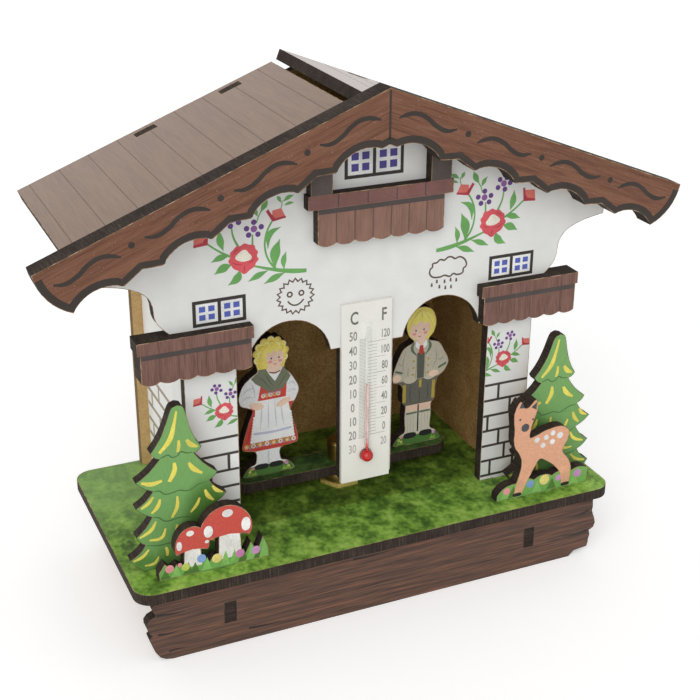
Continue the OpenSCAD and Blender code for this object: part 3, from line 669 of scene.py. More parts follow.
spray = {
    "petals": [(0.3, 3.8), (1.6, 3.3), (2.8, 3.1), (3.2, 2), (3.8, 1.2), (3.5, 0.2), (3.9, -0.8),
               (3.2, -1.6), (2.8, -2.5), (1.6, -3.2), (0.1, -4.1), (-1.1, -3.2), (-2.7, -2.3), (-3.2, -1.4),
               (-3.9, -0.3), (-3.4, 0.7), (-3.4, 1.8), (-2.6, 2.5), (-1.7, 3.3), (-0.7, 3.3)],
    "heart": [(-2.1, 0.3), (-1.2, 1.5), (0.4, 2.2), (1.4, 1.2), (2.1, -0.1), (0.8, -0.8), (-1.4, -0.4)],
    "folds": [[(-2.9, -0.6), (-1.6, -1.4), (-0.2, -1.4)], [(1.2, -1.2), (2.3, -1), (3, 0)],
              [(-2.6, 1.4), (-1.9, 2.2), (-0.8, 2.7)], [(0, -1.8), (0.2, -2.7), (0.1, -3.5)]],
    "stems": [
        ([(2.4, -2.3), (6.9, -3.8), (10.3, -4.7), (13.6, -5.3), (16.6, -5.6)], [0.5, 0.8, 1.05, 1.25, 1.0]),
        ([(8.3, -3.8), (6.6, -1.5), (5.7, 1.5), (5.8, 4.5), (6.6, 6.8), (7.6, 8.5)],
         [0.7, 0.55, 0.5, 0.5, 0.5, 0.5]),
        ([(2.4, 3), (2.5, 5.8)], [0.5, 0.4]),
        ([(-1.2, 3), (-2.5, 6), (-2.9, 9)], [0.6, 0.5, 0.4]),
        ([(-3.4, 0.9), (-6.4, 2.8), (-9.3, 5.1)], [0.6, 0.5, 0.45]),
        ([(3.6, 8.6), (4.1, 10.1), (4.8, 11.4)], [0.3, 0.3, 0.3]),
        ([(10, 11.4), (10.3, 12.6), (10.3, 13.6)], [0.25, 0.25, 0.2]),
    ],
    "leaves": [
        ([(-5.1, 2.7), (-5.8, 5.2), (-6, 8.2)], 1.9), ([(-3.5, 1.2), (-5.9, 1), (-8.3, 0.1)], 1.7),
        ([(-3, -1.2), (-5.2, -1.8), (-7.6, -3.1)], 2.2), ([(-1, -2.8), (-1.7, -4.9), (-4.2, -6.5)], 2.2),
        ([(6.3, -4.1), (3.6, -5.1), (1, -6.3)], 1.6), ([(10.8, -5.3), (8, -6.3), (5.2, -7.5)], 1.7),
        ([(8.2, -3.8), (8.3, 0.2), (9.6, 3.7)], 2.7), ([(10.6, -4.4), (10.5, -2), (11.2, 0.2)], 1.5),
        ([(6.4, 1.6), (7, 5.3), (9.9, 6.8)], 1.6), ([(4.7, 11.2), (5.8, 13), (6.5, 14.6)], 1.6),
        ([(3.9, 10.3), (3.3, 11.6), (2.3, 12.8)], 1.2), ([(10.6, 13.2), (12, 14.1), (13.4, 14.5)], 1.1),
        ([(10.9, 12.2), (12.2, 12.6), (13.4, 12.6)], 0.8), ([(10, 13), (9.5, 14.1), (9, 14.8)], 1.0),
    ],
    "berries": [
        ((2.9, 7.2), [(2.9, 8.9), (1, 7.5), (1.5, 5.8), (3.9, 5.7), (4.8, 7.5)]),
        ((-2.7, 10.3), [(-1.5, 11.5), (-1, 9.4), (-3.1, 8.7), (-4.6, 10.3), (-3.5, 11.8)]),
    ],
    "buds": [
        ([(7.7, 11.2), (10.1, 11.6), (11.2, 9.2), (7.8, 8.6)],
         [(6.1, 11.2), (6.7, 11.7), (7.5, 10.4), (8.4, 9.2), (11.2, 9.5), (11.3, 9), (7.7, 8.4)]),
        ([(-9.5, 7.7), (-12.3, 7.5), (-12.6, 4.6), (-9.1, 4.9)],
         [(-8.7, 8.3), (-9.3, 8.4), (-9.5, 6.4), (-10.2, 5.5), (-12.6, 5), (-12.6, 4.4), (-9, 4.7)]),
    ],
    "leafEnds": (0.15, 0.1), "foldWidths": [0.1, 0.3, 0.1], "berrySize": (0.7, 0.85),
}


def sprayMarks(look):
    marks = [(0, "leafGreen", brush(points, widths)) for points, widths in look["stems"]]
    base, tip = look["leafEnds"]
    for points, width in look["leaves"]:
        marks.append((1, "leafGreen", brush(points, [base, width, tip])))
    marks.append((2, "petalCoral", area(*look["petals"])))
    marks += strokes(3, "budRed", look["folds"], look["foldWidths"])
    marks.append((3, "petalCream", area(*look["heart"])))
    small, large = look["berrySize"]
    for heart, around in look["berries"]:
        marks.append((1, "berryHeart", disc(*heart, large)))
        marks += [(2, "berryViolet", disc(*berry, small)) for berry in around]
    for bud, fold in look["buds"]:
        marks.append((1, "budCoral", plate(*bud)))
        marks.append((2, "budRed", plate(*fold)))
    return marks


windows = {
    "line": 0.9, "paneAt": (0.14, 0.57), "pane": 0.29,  # shares of a casement
    "small": [(-47.2, 85.2, -33.3, 92.1), (35.7, 85.1, 49.4, 91.9)],
    "upper": (-6.7, 118.2, 9.5, 126.6),
}


def windowMarks(look, left, low, right, high, pane):
    # black frame, two white casements, four panes in each
    line = look["line"]
    marks = [(0, "lineBlack", panel(left, low, right, high))]
    half = (right - left - 3 * line) / 2
    tall = high - low - 2 * line
    z = low + line
    for x in (left + line, left + half + 2 * line):
        marks.append((1, "sashWhite", panel(x, z, x + half, z + tall)))
        for i in look["paneAt"]:
            for j in look["paneAt"]:
                px = x + i * half
                pz = z + j * tall
                marks.append((2, pane, panel(px, pz, px + look["pane"] * half, pz + look["pane"] * tall)))
    return marks


weatherSigns = {
    "sun": (-20.04, 89.4), "spikes": 19, "outer": 5.05, "inner": 4.15, "squat": 0.95,
    "eyes": [(-1.55, 0.65), (1.6, 0.65)], "eye": 0.62,
    "smile": [(-2.1, -1.1), (-1.3, -2), (0, -2.45), (1.3, -2), (2.2, -1.1)],
    "line": 0.56, "thin": 0.8, "cloudThin": 0.85,
    "cloud": [(18, 90.8), (18.7, 91.5), (18.7, 92.3), (19.9, 92.5), (20.9, 93.2), (22.1, 92.9), (23.3, 93.6),
              (24.5, 93.4), (25.2, 92.9), (26.5, 93.2), (27.6, 92.8), (28.6, 91.6), (28.7, 90.4),
              (27.9, 89.7), (27.8, 88.7), (26, 88.3), (24.9, 88.7), (24, 88.1), (22.3, 88.6), (20.8, 88.3),
              (18.2, 89.1)],
    "rain": [(18.6, 86.9), (20.1, 87.7), (20.9, 86.1), (22.4, 87.4), (22.7, 85.6), (24.2, 87.6),
             (24.4, 85.6), (25.9, 87.3)],
    "drop": 1.0, "dropWidths": [0.45, 0.6],
}


def weatherMarks(look):
    x, z = look["sun"]
    rays = []
    for k in range(2 * look["spikes"]):
        reach = look["inner"] if k % 2 else look["outer"]
        angle = math.pi * k / look["spikes"]
        rays.append((x + reach * math.sin(angle), z + look["squat"] * reach * math.cos(angle)))
    line = look["line"]
    marks = [(0, "lineBrown", looped(rays, line, False))]
    for eye in look["eyes"]:
        ring = moved(disc(*eye, look["eye"])["points"], x, z)
        marks.append((0, "lineBrown", looped(ring, look["thin"] * line)))
    smile = moved(look["smile"], x, z)
    marks.append((0, "lineBrown", brush(smile, [look["thin"] * line] * len(smile))))
    marks.append((0, "lineBrown", looped(look["cloud"], look["cloudThin"] * line)))
    drops = [[(px, pz), (px, pz - look["drop"])] for px, pz in look["rain"]]
    return marks + strokes(0, "lineBrown", drops, look["dropWidths"])


bricks = {
    "top": 53.3, "course": 4.82, "courses": 7, "line": 0.75,
    "left": [(-39.2, 1), (-47.4, 1), (-44.2, 2), (-46.4, 3), (-43.4, 4), (-46.8, 5), (-40.4, 5)],
    "right": [(40.9, 0), (44.8, 1), (37.9, 2), (47.2, 2), (41.7, 3), (43.8, 4), (39.4, 5), (46.8, 5)],
    "pale": (-38.75, 44.0, -36.45, 48.0),
}


def brickMarks(look, left, right, joints, tone="brickLine", share=1.0):
    marks = []
    for k in range(look["courses"]):
        z = look["top"] - k * look["course"]
        marks.append((0, tone, ruled([(left, z), (right, z)], share * look["line"])))
    for x, course in joints:
        z = look["top"] - course * look["course"]
        marks.append((1, tone, ruled([(x, z), (x, z - look["course"])], share * look["line"])))
    return marks


facade = {
    "sprayLeft": (-33.6, 101.5), "sprayRight": (36.2, 101.5), "pillarSpray": 0.645,
    "pillarLeft": (-40.0, 60.9), "pillarRight": (41.9, 60.9),
    "pillar": (36.5, 50.0),  # inner and outer edges of the pillars' print
}
sprayOnce = sprayMarks(spray)
inner, outer = facade["pillar"]
wallMarks = placed(sprayOnce, *facade["sprayLeft"])
wallMarks += placed(sprayOnce, *facade["sprayRight"], mirrored=True)
for edges in windows["small"]:
    wallMarks += windowMarks(windows, *edges, "paneBlue")
wallMarks += windowMarks(windows, *windows["upper"], "paneViolet")
wallMarks += weatherMarks(weatherSigns)
wallMarks += brickMarks(bricks, -outer, -inner, bricks["left"])
wallMarks += brickMarks(bricks, inner, outer, bricks["right"])
wallMarks.append((2, "brickWhite", panel(*bricks["pale"])))
printOn("wallPrint", frontOf("front_wall"), wallMarks)
size = facade["pillarSpray"]
leftSpray = placed(sprayOnce, *facade["pillarLeft"], size)
rightSpray = placed(sprayOnce, *facade["pillarRight"], size, True)
printOn("leftPillarSpray", frontOf("front_wall"), leftSpray,
        limits=[(-inner, 1), (-outer, -1)])
printOn("rightPillarSpray", frontOf("front_wall"), rightSpray,
        limits=[(inner, -1), (outer, 1)])

sideBricks = {"front": -14.0, "rear": 29.6, "step": 14.5, "thin": 1.6, "bond": (0.8, 0.3), "joints": 3}
for name, side in (("left", -1), ("right", 1)):
    # drawn along the wall's own length, which runs back along Y
    ends = sorted((side * sideBricks["front"], side * sideBricks["rear"]))
    joints = []
    for course in range(bricks["courses"] - 1):
        for k in range(sideBricks["joints"]):
            share = k + sideBricks["bond"][course % 2]
            joints.append((ends[0] + sideBricks["step"] * share, course))
    marks = brickMarks(bricks, ends[0], ends[1], joints, "brickGrey", sideBricks["thin"])
    printOn(name + "WallBricks", sideOf("side_wall_" + name, side), marks)
print("walls finished")

# Barge boards and roof

bargeLook = {
    "tones": [(92, 58, 42), (116, 77, 58), (134, 92, 71)], "grain": (7, 3, 0.3), "streak": (30, 4, 1.6),
    "pitch": 21.3, "border": 1.75, "clear": 0.4, "ink": (56, 48, 43),
    "curl": [(-82.4, 106.1), (-79.7, 106), (-76.6, 107.6), (-74.4, 109.6), (-71.3, 111.1), (-68.4, 111),
             (-66.7, 110.5)],
    "curlWidths": [0.5, 1.1, 1.15, 1.15, 1.15, 1.0, 0.45],
    "dot": (-64.1, 113.0), "dotSize": 0.8, "step": (21.45, 8.36), "curls": 4,
    "apex": 143.0, "middleLine": 0.6, "middleDrop": (12.2, 0.5),
}
mixInks({"bargeInk": bargeLook["ink"]})
bargePrint = woodFinish("bargePrint", bargeLook, bargeLook["pitch"], True)
cutSheet("bargeFrontSheet", "barge_board_front", bargePrint)
cutSheet("bargeBackSheet", "barge_board_back", bargePrint)


def frontOutline(node):
    # corners of a sheet's front face in order, as x and z in mm
    bm = solidOf(node, False)
    front = [face for face in bm.faces if face.normal.y < -sheetLook["facing"]]
    following = {}
    for face in front:
        for loop in face.loops:
            if sum(other in front for other in loop.edge.link_faces) == 1:
                following[loop.vert] = loop.link_loop_next.vert
    vert = next(iter(following))
    corners = []
    for k in range(len(following)):
        corners.append((vert.co.x / mm, vert.co.z / mm))
        vert = following[vert]
    bm.free()
    return corners


def borderMarks(look):
    # a dark band just inside the lower edge, from one end round to the other
    corners = frontOutline("barge_board_front")
    slope = math.tan(math.radians(look["pitch"]))
    inset = look["border"] / 2 + sheetLook["rim"]
    band = []
    for before, here, after in zip(corners[-1:] + corners[:-1], corners, corners[1:] + corners[:1]):
        along = (Vector(after) - Vector(before)).normalized()
        point = Vector(here) + inset * Vector((-along.y, along.x))
        drop = look["apex"] - slope * abs(here[0]) - here[1]
        band.append(tuple(point) if drop > look["clear"] else None)
    # start the band just past the top edge, which has none
    gap = next(k for k in range(len(band)) if band[k] is None and band[(k + 1) % len(band)])
    band = band[gap + 1:] + band[:gap + 1]
    return [(0, "bargeInk", ruled([point for point in band if point], look["border"]))]


def curlMarks(look):
    marks = borderMarks(look)
    stepX, stepZ = look["step"]
    for mirrored in (False, True):
        for k in range(look["curls"]):
            curl = [(0, "bargeInk", brush(look["curl"], look["curlWidths"]))]
            if k < look["curls"] - 1:
                curl.append((0, "bargeInk", disc(*look["dot"], look["dotSize"])))
            marks += placed(placed(curl, k * stepX, k * stepZ), 0, 0, mirrored=mirrored)
    middle = [(0, look["apex"] - drop) for drop in look["middleDrop"]]
    return marks + [(0, "bargeInk", ruled(middle, look["middleLine"]))]


printOn("bargeCurls", frontOf("barge_board_front"), curlMarks(bargeLook))

roofLook = {
    "tones": [(118, 87, 64), (129, 97, 73), (138, 106, 82)],
    "grain": (0.5, 9, 3), "streak": (3, 40, 6), "roughness": 0.22, "sheen": 0.5, "depth": 0.003,
    "pitch": 21.3, "ridge": 139.0, "plank": 8.64, "planks": 10, "first": 1.92, "line": 0.18, "margin": 0.6,
    "clear": 1.0, "tabs": (19.1, 44.97), "tabHalf": 3.3, "tabRows": [(-17.7, -14.3), (30.0, 33.4)],
}
roofPrint = woodFinish("roofPrint", roofLook)
mixInks({"plankLine": (112, 88, 74)})
for name, side in (("left", -1), ("right", 1)):
    node = "roof_panel_" + name
    tip = math.radians(roofLook["pitch"])
    facing = (side * math.sin(tip), 0, math.cos(tip))
    cutSheet(name + "RoofSheet", node, roofPrint, facing)
    # plank lines lie in the slope: x down the slope, y along the ridge
    place = Matrix.Translation((0, 0, roofLook["ridge"] * mm)) @ Matrix.Rotation(side * tip, 4, "Y")
    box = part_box(node)
    span = [side * corner.x / mm / math.cos(tip) for corner in box]
    start = box[0].y / mm + roofLook["margin"]
    end = box[1].y / mm - roofLook["margin"]
    lines = []
    for k in range(1, roofLook["planks"]):
        u = k * roofLook["plank"] + roofLook["first"]
        if not min(span) + roofLook["clear"] < u < max(span) - roofLook["clear"]:
            continue
        stops = [start, end]
        if any(abs(u - tab) < roofLook["tabHalf"] for tab in roofLook["tabs"]):
            # the print stops at the tenons
            stops = [start, *roofLook["tabRows"][0], *roofLook["tabRows"][1], end]
        for low, high in zip(stops[::2], stops[1::2]):
            lines.append((0, "plankLine", ruled([(side * u, low), (side * u, high)], roofLook["line"])))
    printOn(name + "RoofPlanks", place, lines)
print("roof finished")

# Balconies

balconyLook = {
    "tones": [(90, 64, 56), (116, 84, 74), (134, 100, 90)], "grain": (0.3, 3, 5), "streak": (2, 4, 16),
    "shadowIn": 0.95, "line": 0.24, "planks": 6, "plank": 4.8, "inset": 0.7,
    "top": 84.6, "rail": 3.3, "under": 1.3, "foot": 73.7,
}
mixInks({"railShadow": (74, 66, 63), "plankSeam": (98, 76, 68), "railRed": (122, 84, 78),
         "postGrey": (84, 74, 70)})
balconyPrint = woodFinish("balconyPrint", balconyLook)
for name in ("left", "right"):
    node = name + "_balcony"
    cutSheet(name + "BalconySheet", node, balconyPrint)
    left, right = (corner.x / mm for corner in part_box(node))
    railFoot = balconyLook["top"] - balconyLook["rail"]
    under = railFoot - balconyLook["under"]
    shadowIn = balconyLook["shadowIn"]
    marks = [(0, "railShadow", panel(left + shadowIn, under, right - shadowIn, railFoot))]
    first = left + balconyLook["inset"]
    seams = [first + k * balconyLook["plank"] for k in range(1, balconyLook["planks"])]
    marks += uprights(1, "plankSeam", seams, under, balconyLook["foot"], balconyLook["line"])
    printOn(name + "BalconyPlanks", frontOf(node), marks)

centreLook = {
    "tones": [(118, 86, 74), (134, 100, 86), (146, 111, 97)], "grain": (0.35, 3, 5), "streak": (3, 4, 18),
    "line": 0.32, "shift": 2.4, "half": 20.0, "lip": 2.5, "railLow": 112.28, "railHigh": 115.98,
    "under": 1.25, "foot": 103.4, "postOut": 19.3, "postWide": 5.8, "postTop": 125.48, "railParts": 5,
    "planks": 7,
}
centrePrint = woodFinish("centrePrint", centreLook)
cutSheet("centreBalconySheet", "centre_balcony", centrePrint)


def parted(middle, half, parts):
    # where a width is parted into equal lengths
    return [middle - half + 2 * half * k / parts for k in range(1, parts)]


def centreMarks(look):
    rim = sheetLook["rim"]
    middle = look["shift"]
    half = look["half"] - rim
    low = look["railLow"] + rim
    high = look["railHigh"] - rim
    marks = [(0, "railRed", panel(middle - half, low, middle + half, high))]
    for side in (-1, 1):
        out = middle + side * (look["postOut"] - rim)
        inside = middle + side * (look["postOut"] - look["postWide"] + rim)
        left, right = sorted((out, inside))
        marks.append((0, "postGrey", panel(left, look["railHigh"], right, look["postTop"] - rim)))
    plankHalf = look["half"] - look["lip"]
    half = plankHalf - rim
    under = look["railLow"] - look["under"]
    marks.append((0, "railShadow", panel(middle - half, under, middle + half, look["railLow"])))
    seams = parted(middle, look["half"], look["railParts"])
    marks += uprights(1, "railShadow", seams, low, high, look["line"])
    seams = parted(middle, plankHalf, look["planks"])
    return marks + uprights(1, "plankSeam", seams, under, look["foot"], look["line"])


printOn("centreBalconyPlanks", frontOf("centre_balcony"), centreMarks(centreLook))
print("balconies finished")

# Fir trees, both with the same print

treeLook = {
    "tones": [(0.0, (92, 138, 62)), (0.14, (116, 162, 94)), (0.45, (119, 167, 97)), (0.8, (124, 170, 102))],
    "low": 23.0, "high": 68.5, "place": 55.0,
    "shade": (80, 124, 52), "shadeAt": (47.5, 36), "shadeReach": (4, 7.3), "shadeTall": 0.6,
    "strokes": [
        ([(0.6, 66.9), (-0.3, 62.9), (-1.5, 59.3), (-4.3, 56.1)], [0.4, 0.8, 1.2, 0.6]),
        ([(0.8, 58.7), (0.75, 57), (0.4, 55.5)], [0.5, 0.75, 0.6]),
        ([(2.8, 58.5), (3.9, 56.9), (5.6, 55.95)], [0.6, 1.2, 0.4]),
        ([(-9.4, 48.8), (-6.8, 47.9), (-4, 48.3)], [0.5, 1.1, 0.6]),
        ([(-0.6, 52.7), (-0.7, 50.4), (-2.2, 47.6)], [0.6, 1.2, 0.8]),
        ([(3.1, 51.9), (4.2, 50), (6.5, 48.2)], [0.6, 1.2, 0.5]),
        ([(-6.5, 44.2), (-8, 42.5), (-9.8, 41.45)], [0.4, 0.8, 0.4]),
        ([(-4.8, 43.2), (-5.5, 41.2), (-7.2, 39.5)], [0.4, 0.95, 0.4]),
        ([(-0.3, 43), (-0.5, 40), (-2, 37.1)], [0.4, 0.85, 0.5]),
        ([(5.5, 41.2), (4.7, 39.4), (3, 37.5)], [0.4, 0.75, 0.4]),
        ([(7, 43.2), (7.8, 41.2), (9.2, 39.65)], [0.5, 1.0, 0.4]),
        ([(9, 43.9), (10.1, 42.4), (11.7, 41.5)], [0.4, 0.9, 0.3]),
        ([(-6.2, 37), (-7.5, 34.8), (-10.7, 33.1)], [0.3, 0.85, 0.4]),
        ([(-3.8, 34.4), (-5, 31.9), (-8.2, 31.8)], [0.3, 0.8, 0.35]),
        ([(-0.8, 34.8), (-0.9, 34), (-1.1, 33.2)], [0.4, 0.5, 0.4]),
        ([(3.6, 34.6), (4.6, 32.2), (7.6, 31.9)], [0.3, 0.8, 0.35]),
        ([(6.6, 36.8), (8, 34.6), (11.2, 33.2)], [0.4, 0.85, 0.4]),
        ([(-8.5, 29.2), (-10.2, 27.5), (-12.7, 26.6)], [0.3, 0.8, 0.4]),
        ([(-6, 26.5), (-7.2, 24.8), (-9.8, 24.6)], [0.3, 0.7, 0.3]),
        ([(-4, 28.8), (-3.7, 27.4), (-3.8, 26.2)], [0.5, 0.7, 0.5]),
        ([(2.4, 28.4), (2.2, 26.9), (1.4, 25.4)], [0.4, 0.65, 0.4]),
        ([(7.4, 29.4), (9.2, 27.6), (12.3, 26.5)], [0.3, 0.8, 0.4]),
    ],
    "tiers": [
        [(-4.2, 54.7), (-3.4, 54.9), (-2.2, 55.2), (-1, 54.3), (0.4, 54.6), (1.1, 55.4), (2.6, 54.8),
         (4.2, 54.6)],
        [(-6.3, 45.6), (-5, 45.6), (-3.5, 44.3), (-1.4, 44.3), (0, 44.6), (2.7, 44), (5.4, 45.2),
         (7.9, 45.5)],
        [(-6.9, 38.3), (-5.6, 38), (-3.8, 36.5), (0, 36.7), (4.4, 36.3), (6.4, 37.2), (8, 38.1)],
        [(-9, 30.5), (-6, 29.8), (-1.8, 29.8), (2, 29.2), (6, 29.8), (9.1, 30.5)],
    ],
    "tierLine": 0.32, "tierEnd": 0.192, "fuller": 0.14,
    "patch": (5, 5, 4), "wobble": 0.3, "needle": (0.4, 0.4, 2.4), "depth": 0.012,
    "lit": [(0.3, (234, 238, 230)), (0.7, (255, 255, 255))],
}
mixInks({"strokeYellow": (234, 220, 98), "tierGreen": (74, 112, 62)})


def firFinish(look):
    finish = startFinish("firPrint", 0.58)
    place = axes(finish, True)
    span = ramped(finish, place["Z"], look["low"], look["high"])
    patches = sums(finish, "SUBTRACT", mottle(finish, look["patch"], 2), 0.5)
    wobble = sums(finish, "MULTIPLY", patches, look["wobble"])
    base = shades(finish, sums(finish, "ADD", span, wobble), look["tones"])
    # painted shade: darker green towards the middle of the house, low down, beside the toadstools and the
    # fawn
    x, z = look["shadeAt"]
    aside = sums(finish, "SUBTRACT", place["X"], x * mm)
    above = sums(finish, "MULTIPLY", sums(finish, "SUBTRACT", place["Z"], z * mm), look["shadeTall"])
    squares = [sums(finish, "MULTIPLY", reach, reach) for reach in (aside, above)]
    full, gone = look["shadeReach"]
    shaded = ramped(finish, sums(finish, "SQRT", sums(finish, "ADD", *squares)), gone, full)
    base = mixed(finish, shaded, base, linear(look["shade"]))
    needles = mottle(finish, look["needle"], 3)
    return coloured(finish, tinted(finish, base, needles, look["lit"]), needles, look["depth"])


def treeMarks(look):
    marks = []
    for points in look["tiers"]:
        widths = [look["tierEnd"]] + [look["tierLine"]] * (len(points) - 2) + [look["tierEnd"]]
        marks.append((0, "tierGreen", brush(points, widths)))
    for points, widths in look["strokes"]:
        marks.append((1, "strokeYellow", brush(points, [width + look["fuller"] for width in widths])))
    return marks


firPrint = firFinish(treeLook)
treeRim = rimFinish("treeRim", [(64, 54, 44), (92, 76, 58), (132, 110, 84), (160, 138, 108)])
for name, side in (("left", -1), ("right", 1)):
    node = name + "_tree"
    cutSheet(name + "TreeSheet", node, firPrint, rim=treeRim)
    marks = placed(treeMarks(treeLook), side * treeLook["place"], 0)
    printOn(name + "TreePrint", frontOf(node), marks)
print("trees finished")

# Toadstools and fawn

gardenInks = {
    "spotWhite": (236, 234, 230), "stemWhite": (232, 229, 224), "dotPink": (228, 150, 156),
    "dotLime": (190, 206, 100), "dotBlue": (132, 164, 214), "dotYellow": (232, 216, 130),
    "dotMagenta": (206, 128, 180), "dotLilac": (206, 150, 200), "bladeLight": (140, 192, 104),
    "bladeDark": (88, 124, 56), "hoofBlack": (50, 46, 46), "fawnGrey": (74, 76, 80),
    "fawnCoat": (230, 172, 138), "turfGreen": (124, 178, 92),
}
mixInks(gardenInks)
bandLook = {"low": 20.0, "high": 80.0, "waver": [(0.25, (226, 226, 226)), (0.7, (255, 255, 255))]}


def bandFinish(name, bands):
    # flat bands of colour up the sheet, each starting at its height in mm
    finish = startFinish(name, 0.58)
    low = bandLook["low"]
    high = bandLook["high"]
    span = ramped(finish, axes(finish)["Z"], low, high)
    base = shades(finish, span, [((z - low) / (high - low), colour) for z, colour in bands], True)
    fine = mottle(finish, inkGrain["fine"], 2)
    return coloured(finish, tinted(finish, base, fine, bandLook["waver"]), fine, inkGrain["depth"])


def bladeMarks(level, look):
    # pointed blades of grass, all from one foot
    left, right, lean = look["blade"]
    foot = look["foot"]
    return [(level, inkName, plate((x + left, foot), (x + right, foot), (x + lean, tip)))
            for inkName, x, tip in look["blades"]]


def dotMarks(level, dots):
    return [(level, inkName, disc(*dot)) for inkName, *dot in dots]


toadstools = {
    "cap": (208, 84, 72), "grass": (122, 176, 90), "capFoot": 29.1,
    "stems": [[(-46.9, 25.4), (-40.7, 25.4), (-41.1, 31.9), (-43.8, 32.4), (-46.5, 32.2)],
              [(-56.2, 25.2), (-51.4, 25.2), (-51.8, 30), (-53.8, 30.3), (-55.8, 30)]],
    "spots": [(-44.15, 38.6, 1.45, 1.1), (-49.4, 34.4, 1.2, 1.7), (-39.3, 34.3, 1.25, 2.0),
              (-54.2, 35.1, 1.0, 0.8), (-57.2, 32, 0.7, 1.3), (-49.9, 31.6, 0.55, 0.45)],
    "dots": [("dotPink", -60, 26, 1.15), ("dotPink", -57.3, 26.5, 0.6), ("dotLime", -55.8, 25.5, 1.1),
             ("dotBlue", -51.5, 27, 1.2), ("dotYellow", -47.4, 26, 1.35), ("dotMagenta", -41.2, 25.9, 1.2),
             ("dotLilac", -36.8, 25.8, 1.2)],
    "blades": [("bladeDark", -61.2, 26.2), ("bladeLight", -58.4, 26.9), ("bladeDark", -55.2, 26.8),
               ("bladeDark", -53.4, 26.4), ("bladeLight", -50.2, 27.0), ("turfGreen", -47.6, 27.4),
               ("bladeLight", -45.2, 27.8), ("turfGreen", -42.8, 27.6), ("bladeDark", -40.4, 27.2),
               ("bladeLight", -38.2, 28.0), ("bladeDark", -36.2, 26.6), ("bladeLight", -34.6, 28.6)],
    "blade": (-1.4, 1.3, 0.2), "foot": 23.3,
}
bands = [(bandLook["low"], toadstools["grass"]), (toadstools["capFoot"], toadstools["cap"])]
cutSheet("toadstoolSheet", "mushroom_group", bandFinish("capPrint", bands))
marks = fills(0, "stemWhite", toadstools["stems"]) + bladeMarks(1, toadstools)
marks += fills(1, "spotWhite", toadstools["spots"], disc) + dotMarks(2, toadstools["dots"])
printOn("toadstoolPrint", frontOf("mushroom_group"), marks)

fawn = {
    "coat": gardenInks["fawnCoat"], "turf": gardenInks["turfGreen"], "turfTop": 29.4,
    "legs": [[(40.3, 23.8), (42.8, 23.8), (44, 26.6), (45.4, 29.8), (41.9, 29.8), (40.8, 26.6)],
             [(56, 23.8), (58.3, 23.8), (58.7, 26.6), (58.4, 29.8), (54.1, 29.8), (55.4, 27.8)]],
    "hooves": [(41.4, 23.95, 1.45, 0.55), (57.2, 23.95, 1.4, 0.55)],
    "spots": [(46.8, 40.2, 0.85), (49.8, 40.4, 0.8), (51.9, 41.4, 0.8), (54.3, 40.2, 1.0),
              (51.9, 38.6, 0.85), (48.9, 38.1, 0.8)],
    "nose": (42.7, 44.9, 1.25), "eyes": [(40.9, 47.7, 0.32), (45, 47.1, 0.32)],
    "ears": [[(40.4, 51.3), (41.2, 53.2), (42.1, 51.1)], [(44.2, 50.9), (45.9, 52.2), (45.9, 49.9)]],
    "dots": [("dotPink", 38, 25.7, 1.1), ("dotBlue", 45.6, 26.4, 1.2), ("dotYellow", 50.2, 26.8, 1.6),
             ("dotLilac", 54.9, 26.4, 1.0), ("dotLilac", 61.2, 26.5, 1.3)],
    "blades": [("bladeLight", 37.6, 26.9), ("bladeDark", 40, 26.9), ("bladeLight", 47.8, 26.9),
               ("bladeDark", 52.6, 26.9), ("bladeLight", 60, 26.9)],
    "blade": (-1.6, 1.6, 0.2), "foot": 23.4,
}
bands = [(bandLook["low"], fawn["turf"]), (fawn["turfTop"], fawn["coat"])]
cutSheet("fawnSheet", "fawn_group", bandFinish("fawnPrint", bands))
marks = bladeMarks(0, fawn) + dotMarks(1, fawn["dots"])
marks += fills(2, "fawnCoat", fawn["legs"]) + fills(3, "hoofBlack", fawn["hooves"], disc)
marks += fills(0, "spotWhite", fawn["spots"], disc)
marks += fills(0, "fawnGrey", [fawn["nose"], *fawn["eyes"]], disc) + fills(0, "fawnGrey", fawn["ears"])
printOn("fawnMarks", frontOf("fawn_group"), marks)
print("garden finished")

# Turning bar and its pair

barLook = {
    "tones": [(36, 56, 26), (54, 80, 38), (74, 104, 50), (94, 124, 62)],
    "blade": (1.4, 1.4, 1), "patch": (8, 8, 8),
}
barPrint = grassFinish("barPrint", barLook)
cutSheet("barSheet", "figure_bar", barPrint, (0, 0, 1), "figures")

# painted light: these inks are set lighter than the print's own colours, as the pair stands in the doorway's
# shade
figureInks = {
    "skin": (250, 214, 192), "skinShade": (224, 170, 146), "cheek": (240, 166, 152),
    "eyeGrey": (92, 100, 118), "lipRed": (198, 100, 96), "hairGold": (255, 236, 122),
    "hairShade": (230, 198, 88), "hairLight": (255, 248, 182), "clothWhite": (252, 252, 253),
    "clothGrey": (216, 217, 226), "apronBand": (200, 201, 224), "shawlGreen": (122, 126, 104),
    "shawlShade": (96, 100, 82), "dressRed": (216, 76, 66), "dressShade": (176, 52, 48),
    "bandLavender": (158, 150, 196), "shoeBlack": (38, 36, 36), "jacketSand": (208, 200, 180),
    "jacketShade": (170, 161, 142), "lapelGreen": (98, 116, 94), "vestGrey": (94, 97, 86),
    "shortsGrey": (112, 110, 100), "shortsShade": (86, 84, 78), "stripeOchre": (190, 166, 74),
    "sockSand": (222, 215, 198), "sockShade": (196, 188, 170), "tieRed": (196, 70, 58),
    "flowerGold": (234, 176, 104), "moundGreen": (84, 128, 60), "moundLight": (140, 178, 74),
}
mixInks(figureInks, 0.035)

